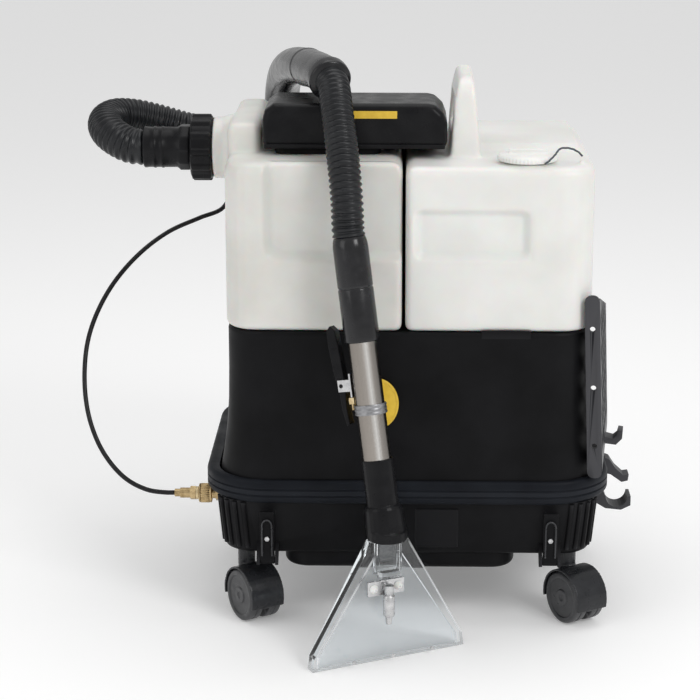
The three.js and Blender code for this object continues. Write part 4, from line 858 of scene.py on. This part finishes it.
def press_recess(shape, x, z, corner, depth, slope):
    """Presses a soft-edged recess into the front wall, in the machine's millimetres."""
    count = len(shape.data.vertices)
    points = np.empty(count * 3)
    shape.data.vertices.foreach_get("co", points)
    points = points.reshape(-1, 3)
    local = (points - np.array(machine.translation)) * 1000
    middle = np.array([(x[0] + x[1]) / 2, (z[0] + z[1]) / 2])
    half = np.array([(x[1] - x[0]) / 2, (z[1] - z[0]) / 2])
    away = np.abs(local[:, [0, 2]] - middle) - half + corner
    outside = np.linalg.norm(np.maximum(away, 0), axis=1) + np.minimum(away.max(axis=1), 0) - corner
    share = np.clip(-outside / slope, 0, 1)
    share = share * share * (3 - 2 * share)
    front = np.clip((tank_front + 20 - local[:, 1]) / 6, 0, 1)
    points[:, 1] += share * front * depth / 1000
    shape.data.vertices.foreach_set("co", points.ravel())
    shape.data.update()


# %% Used-water tank
recovery = copy_of("recovery_tank")
soften(recovery, 2.4, 10)
press_recess(recovery, (-176, 40), (461, 640), 24, 9, 13)
dress(recovery, "used_water_tank", recovery_finish, stands_for="recovery_tank")

# %% Clean-water tank
solution_hollow = combine(
    block(
        (2, 217), (tank_front + 6, tank_back - 6), (tank_foot + 6, 570.4), radii=[34, 2, 2, 34],
        top_rim=10, foot_rim=6, steps=18,
    ),
    "DIFFERENCE",
    block((-42, 42), (79, 200), (375.4, 640)),
    block((44, 92), (-120, 80), (554.4, 581)),
)
solution = combine(
    soften(copy_of("solution_tank"), 1.5, 0), "DIFFERENCE", solution_hollow,
    turned("filler", [(29, 540), (29, 590)], centre=(cap_x, cap_y, 0)),
)
soften(solution, 2.4, 10)
press_recess(solution, (4, 146), (463, 528), 14, 7, 11)
dress(solution, "clean_water_tank", solution_finish, stands_for="solution_tank")

# %% [markdown]
# ## Suction head
# The black cover draws air from the used-water tank to the motor. Its right end is chamfered, its edges
# are soft and a narrow step runs along its foot, where the cover meets its base.

# %% Suction head
head = copy_of("suction_head")
soften(head, 1.6, 6)
dress(head, "head_cover", head_black, stands_for="suction_head")
base_strip = block((-176, 43), (-118.4, -114), (588.6, 594), corner=2, top_rim=1, foot_rim=1)
dress(soften(base_strip, 0.8, 2), "head_foot_strip", head_black)

# %% [markdown]
# ## Hose connection
# A ribbed ring nut clamps the hose cuff on the tank's flange. The nut has deep finger grips, and the cuff
# has flats for a hand to hold, so both are turned with a radius that follows their ribs or flats.

# %% Ring nut
def nut_grips(turn, along):
    grip = max(math.cos(12 * turn), 0) ** 0.5
    return 3.2 * grip * (1 if 2 < along < 25.5 else 0)


nut = turned("nut", [
    (25.9, 0), (36.5, 0), (38.6, 1.2), (39.2, 2.2), (39.2, 3), (39.2, 24.5), (39.2, 25.3), (38.4, 26.6),
    (36.5, 27.6), (25.9, 27.6), (25.9, 0),
], centre=(-274, 0, port_z), axis="x", sides=144, ribs=nut_grips)
dress(soften(nut, 0.8, 3), "port_nut", head_black, body="hose_ring_nut", stands_for="hose_ring_nut")

# %% Hose cuff
def cuff_flats(turn, along):
    """Ten flats on the collar; the fine thread-like ribs by the hose are in the cuff's profile."""
    if 45 < along < 60:
        half = math.pi / 10
        local = (turn + half) % (2 * half) - half
        return 29 * math.cos(half) / math.cos(local) - 29
    return 0


cuff = turned("cuff", [
    (21.2, 0), (24.6, 0), (25.8, 1), (26, 3), (25.4, 6), (25.4, 12), (26.2, 13), (26.2, 15), (25.4, 16),
    (25.4, 22), (26.2, 23), (26.2, 25), (25.4, 26), (25.4, 42), (26.6, 44), (28.6, 46), (29, 47),
    (29, 57), (28.2, 58.6), (25.5, 59.2), (25.5, 108), (21.2, 108), (21.2, 0),
], centre=(-334, 0, port_z), axis="x", sides=120, ribs=cuff_flats)
dress(cuff, "hose_end_cuff", head_black, stands_for="hose_cuff", sharp=40)

# %% [markdown]
# ## Filler cap
# The cap screws into the tank's neck. The CAD solid already has the plug, the disc and the bar for two
# fingers, so it is remoulded with soft edges, and a ring of fine grips is turned round its rim.

# %% Filler cap
def remould(node, name, finish, voxel, passes, body="machine"):
    """A CAD solid with soft edges, in its finish."""
    return dress(soften(copy_of(node), voxel, passes), name, finish, body=body, stands_for=node)


cap_foot = local_box("filler_cap")[1][2] - 13.4
cap = soften(copy_of("filler_cap"), 0.7, 3)
cap = combine(cap, "UNION", turned("cap_grips", [
    (30, cap_foot + 0.2), (35.2, cap_foot + 0.2), (35.8, cap_foot + 1), (35.8, cap_foot + 4.4),
    (34.8, cap_foot + 5.6), (30, cap_foot + 5.8), (30, cap_foot + 0.2),
], centre=(cap_x, cap_y, 0), sides=240, ribs=lambda turn, along: 0.45 * math.cos(48 * turn)))
dress(cap, "screw_cap", white_trim, body="filler_cap", stands_for="filler_cap", sharp=40)

# %% [markdown]
# ## Casters
# Each caster has twin wheels under one glossy hood and turns on a stem behind its axle. The wheels are
# hard grey plastic, turned with a tread groove and a raised rim round a flat disc, and a short axle joins
# them.

# %% Casters
wheel_profile = [
    (3, 4.3), (31, 4.3), (32.2, 5), (32.5, 6), (32.5, 11.8), (31.8, 12.2), (31.8, 13.4), (32.5, 13.8),
    (32.5, 18.6), (32, 20.4), (30.6, 21.6), (29, 22), (26, 22), (25, 21.4), (24.4, 20.6), (11, 20.2),
    (10.2, 21), (9.4, 21.6), (4.6, 21.6), (4, 21), (3, 20.6),
]
caster_turn, caster_trail, wheel_radius = 33, 18, 32.5
mirrored_profile = [(radius, -reach) for radius, reach in wheel_profile]
for spot, (caster_x, caster_y) in caster_spots.items():
    axle_spot = machine @ Matrix.Translation((caster_x, caster_y, 0)) @ turned_to(0, 0, caster_turn)
    axle_spot = axle_spot @ Matrix.Translation((0, -caster_trail, wheel_radius))
    remould(f"caster_hood_{spot}", f"caster_cover_{spot}", charcoal, 1.0, 5, body=f"caster_{spot}")
    wheels = combine(
        turned("wheel", wheel_profile, axis="x", sides=72, place=axle_spot), "UNION",
        turned("wheel", mirrored_profile, axis="x", sides=72, place=axle_spot),
        turned("axle", [(3.9, -6), (3.9, 6)], axis="x", sides=32, place=axle_spot),
    )
    dress(
        wheels, f"twin_wheels_{spot}", wheel_finish, body=f"wheels_{spot}",
        stands_for=f"caster_wheels_{spot}", sharp=35,
    )

# %% [markdown]
# ## Latches
# Two levers hold the tray up to the housing. Each is a strap on a steel pin between two ears, with a wire
# loop in front of it and a bolt head in its middle.

# %% Latches
half_loop = [(6, -5.6, 8), (6, -7, 24), (6, -8, 44), (5.4, -9, 51), (3, -9.4, 54.4)]
loop_route = [(-x, y, z) for x, y, z in half_loop] + [(0, -9.5, 55.4)] + half_loop[::-1]
bolt_profile = [(3.4, -4), (3.4, -6.4), (3, -6.9), (1.8, -7), (1.5, -6.4)]
for side, latch_x in latch_spots.items():
    latch = machine @ Matrix.Translation((latch_x, latch_pivot_y, latch_pivot_z))
    remould(f"latch_{side}", f"latch_strap_{side}", black_shell, 0.7, 3, body=f"latch_{side}")
    loop = tube("loop", loop_route, 1.2, lambda along, whole: 1.1, sides=12, place=latch)[0]
    dress(loop, f"latch_wire_{side}", charcoal, body=f"latch_{side}")
    bolt = turned("bolt", bolt_profile, centre=(0, 0, 30), axis="y", sides=6, place=latch)
    dress(bolt, f"latch_bolt_{side}", steel, body=f"latch_{side}", sharp=20)

# %% [markdown]
# ## Quick coupler
# A knurled brass sleeve slides back on the socket to free the plug. The knurl is turned with the sleeve,
# as fine straight ridges between two plain rims.

# %% Coupler sleeve
sleeve_low, sleeve_high = local_box("coupler_sleeve")
sleeve_long = sleeve_high[0] - sleeve_low[0]
sleeve_bore = 7.4
half_sleeve = [(11, 0), (12.1, 0.8), (12.1, 2.2), (11.7, 2.6), (11.9, 3.2)]


def knurl(turn, along):
    return 0.45 * math.cos(30 * turn) if 3 < along < sleeve_long - 3 else 0


sleeve = turned("sleeve", [
    (sleeve_bore, 0), *half_sleeve, *[(radius, sleeve_long - along) for radius, along in half_sleeve[::-1]],
    (sleeve_bore, sleeve_long), (sleeve_bore, 0),
], centre=(sleeve_low[0], coupler_y, coupler_z), axis="x", sides=240, ribs=knurl)
dress(sleeve, "knurled_sleeve", brass, body="coupler_sleeve", stands_for="coupler_sleeve", sharp=50)

# %% [markdown]
# ## Badge
# An oval yellow plate with a raised rim, left blank, on the housing's front.

# %% Badge
badge_x, badge_z = -38, 288


def oval(half_x, half_z):
    return [
        (badge_x + half_x * math.cos(math.radians(turn)), badge_z + half_z * math.sin(math.radians(turn)))
        for turn in range(0, 360, 4)
    ]


badge_front, badge_back = (corner[1] for corner in local_box("front_badge"))
badge_rim = combine(
    slab("rim", oval(27, 32), (badge_front, badge_back)), "DIFFERENCE",
    slab("face", oval(24.4, 29.4), (badge_front - 1, badge_front + 0.7)),
)
dress(soften(badge_rim, 0.6, 2), "blank_badge", yellow, stands_for="front_badge")

# %% [markdown]
# ## Wand
# The wand's tube is drawn stainless steel. Its grip is a two-part moulding with a seam groove, a rubber
# boot joins the tube to the clear head, and a clamp band sits below the grip. Tube, grip and band are
# turned about the leaning axis, and the boot is the CAD solid remoulded with soft edges.

# %% Tube, grip and band
pipe = turned("pipe", [(15.7, 12), (17.25, 12), (17.25, 300), (15.7, 300), (15.7, 12)], sides=96, place=stick)
dress(pipe, "steel_tube", wand_steel, stands_for="wand_tube", sharp=40)
handle_grip = turned("grip", [
    (17.7, 236), (19.6, 236), (20.6, 236.8), (21, 238.4), (21, 297.6), (20.7, 299), (20, 299.6),
    (20, 300.4), (20.7, 301), (21, 302.4), (21, 346), (20.8, 350), (20.1, 355), (19.1, 359),
    (18.2, 360), (16.2, 360), (16.2, 300.6), (17.7, 300.6), (17.7, 236),
], sides=96, place=stick)
dress(handle_grip, "round_grip", grip_finish, stands_for="wand_grip", sharp=50)
band = turned("band", [
    (17.7, 150), (19, 150), (19.4, 150.6), (19.4, 152.4), (18.9, 153), (18.9, 154.6), (19.4, 155.2),
    (19.4, 156.8), (18.9, 157.4), (18.9, 159), (19.4, 159.6), (19.4, 161.4), (19, 162), (17.7, 162),
    (17.7, 150),
], sides=72, place=stick)
dress(band, "clamp_band", band_finish, stands_for="tube_band", sharp=40)

# %% Boot and trigger
remould("nozzle_boot", "rubber_boot", head_black, 0.8, 4)
remould("trigger_lever", "spray_trigger", head_black, 0.7, 4, body="trigger_lever")

# %% [markdown]
# ### Spray jet
# The jet hangs in front of the clear head on a steel bracket. It is a turned body with a knurled collar
# and a narrow tip, and two white cone screws hold its bracket.

# %% Spray jet and its screws
jet_low, jet_high = local_box("spray_jet", head_side)
bracket_face = local_box("jet_bracket", head_side)[0][1]
jet_x, jet_y, bracket_z = -6, bracket_face - 8, -57
jet = combine(
    turned("jet", [
        (4.4, jet_high[2] - 0.2), (5.6, jet_high[2] - 1.2), (5.6, -62), (5, -62.6), (5, -63.6), (6.4, -64.2),
        (7, -65), (7, -89),
        (6.4, -90), (5, -90.6), (4.2, -94), (3.6, jet_low[2] + 0.6), (3, jet_low[2] + 0.2),
    ], centre=(jet_x, jet_y, 0), sides=144, place=head_side,
        ribs=lambda turn, along: 0.32 * math.cos(24 * turn) if -88 < along < -66 else 0),
    "UNION",
    turned(
        "stub", [(4.8, 0), (4.8, 9.4)], centre=(jet_x, jet_y, bracket_z), axis="y", sides=40, place=head_side,
    ),
)
dress(jet, "jet_body", steel, stands_for="spray_jet", sharp=45)
for number, reach in enumerate((-16, 16)):
    cone = turned("cone", [
        (5.4, 0.3), (5.4, -1), (4.4, -2), (2.6, -4.6), (2.1, -5), (1.2, -5), (1.2, -3.6),
    ], centre=(jet_x + reach, bracket_face, bracket_z), axis="y", sides=40, place=head_side)
    dress(cone, f"cone_screw_{number + 1}", white_trim, sharp=40)

# %% [markdown]
# ### Clear head
# The head is clear acrylic that widens to a slot along its foot. Three steel pins cross the slot and keep
# its two walls apart.

# %% Pins of the clear head
wall = local_box("nozzle", wand)[0][1]
for number, pin_x in enumerate((-52, 0, 52)):
    pin = turned("pin", [
        (1.4, wall - 1.6), (2.6, wall - 1), (2.6, wall - 0.4), (1.2, wall + 0.2),
    ], centre=(pin_x, 0, 8), axis="y", sides=32, place=wand)
    dress(pin, f"slot_pin_{number + 1}", steel, sharp=40)

# %% [markdown]
# ## Rack
# A rounded strip with three screw holes faces the front and a lattice panel runs back along the housing.
# The panel's upper edge falls towards the back, so the CAD solid is trimmed along a slope and its edges
# are softened.

# %% Rack
rack_low, rack_high = local_box("side_rack")
front, back, peak = rack_low[1] + 7, rack_high[1] + 5, rack_high[2]
slope = [(front, peak + 5), (front, peak - 4), (back, peak - 62), (back, peak + 5)]
rack = combine(
    copy_of("side_rack"), "DIFFERENCE",
    slab("slope", slope, (rack_low[0] - 5, rack_high[0] + 5), "x"), solver="EXACT",
)
rack_edge = rack.modifiers.new("edges", "BEVEL")
rack_edge.width, rack_edge.segments, rack_edge.limit_method = 0.0005, 2, "ANGLE"
dress(settle(rack), "lattice_rack", rack_finish, stands_for="side_rack", sharp=40)

# %% [markdown]
# ## What stays from the CAD model
# Every other solid keeps its CAD shape. It gets a small bevel, because a real edge is never quite sharp,
# and the finish of its own slot.

# %% Finish the rest
finish_of = {item["slot"]: item for item in bpy.data.materials if "slot" in item}
bevel_width = {"nozzle": 0.8, "hose_hook": 1.0, "belt_clip": 1.2, "wand_cradle": 1.6, "coupler_plate": 0.6}
for node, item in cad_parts.items():
    if node in made_anew:
        continue
    slot_name = item.data.materials[0].name.split(".")[0]
    item.data.materials.clear()
    item.data.materials.append(finish_of[slot_name])
    item.data.polygons.foreach_set("use_smooth", [True] * len(item.data.polygons))
    edge = item.modifiers.new("edges", "BEVEL")
    edge.width = bevel_width.get(node, 0.35) / 1000
    edge.segments, edge.limit_method, edge.angle_limit = 2, "ANGLE", math.radians(32)
    edge.harden_normals = True
    print(f"{node}: bevelled, {slot_name} finish")
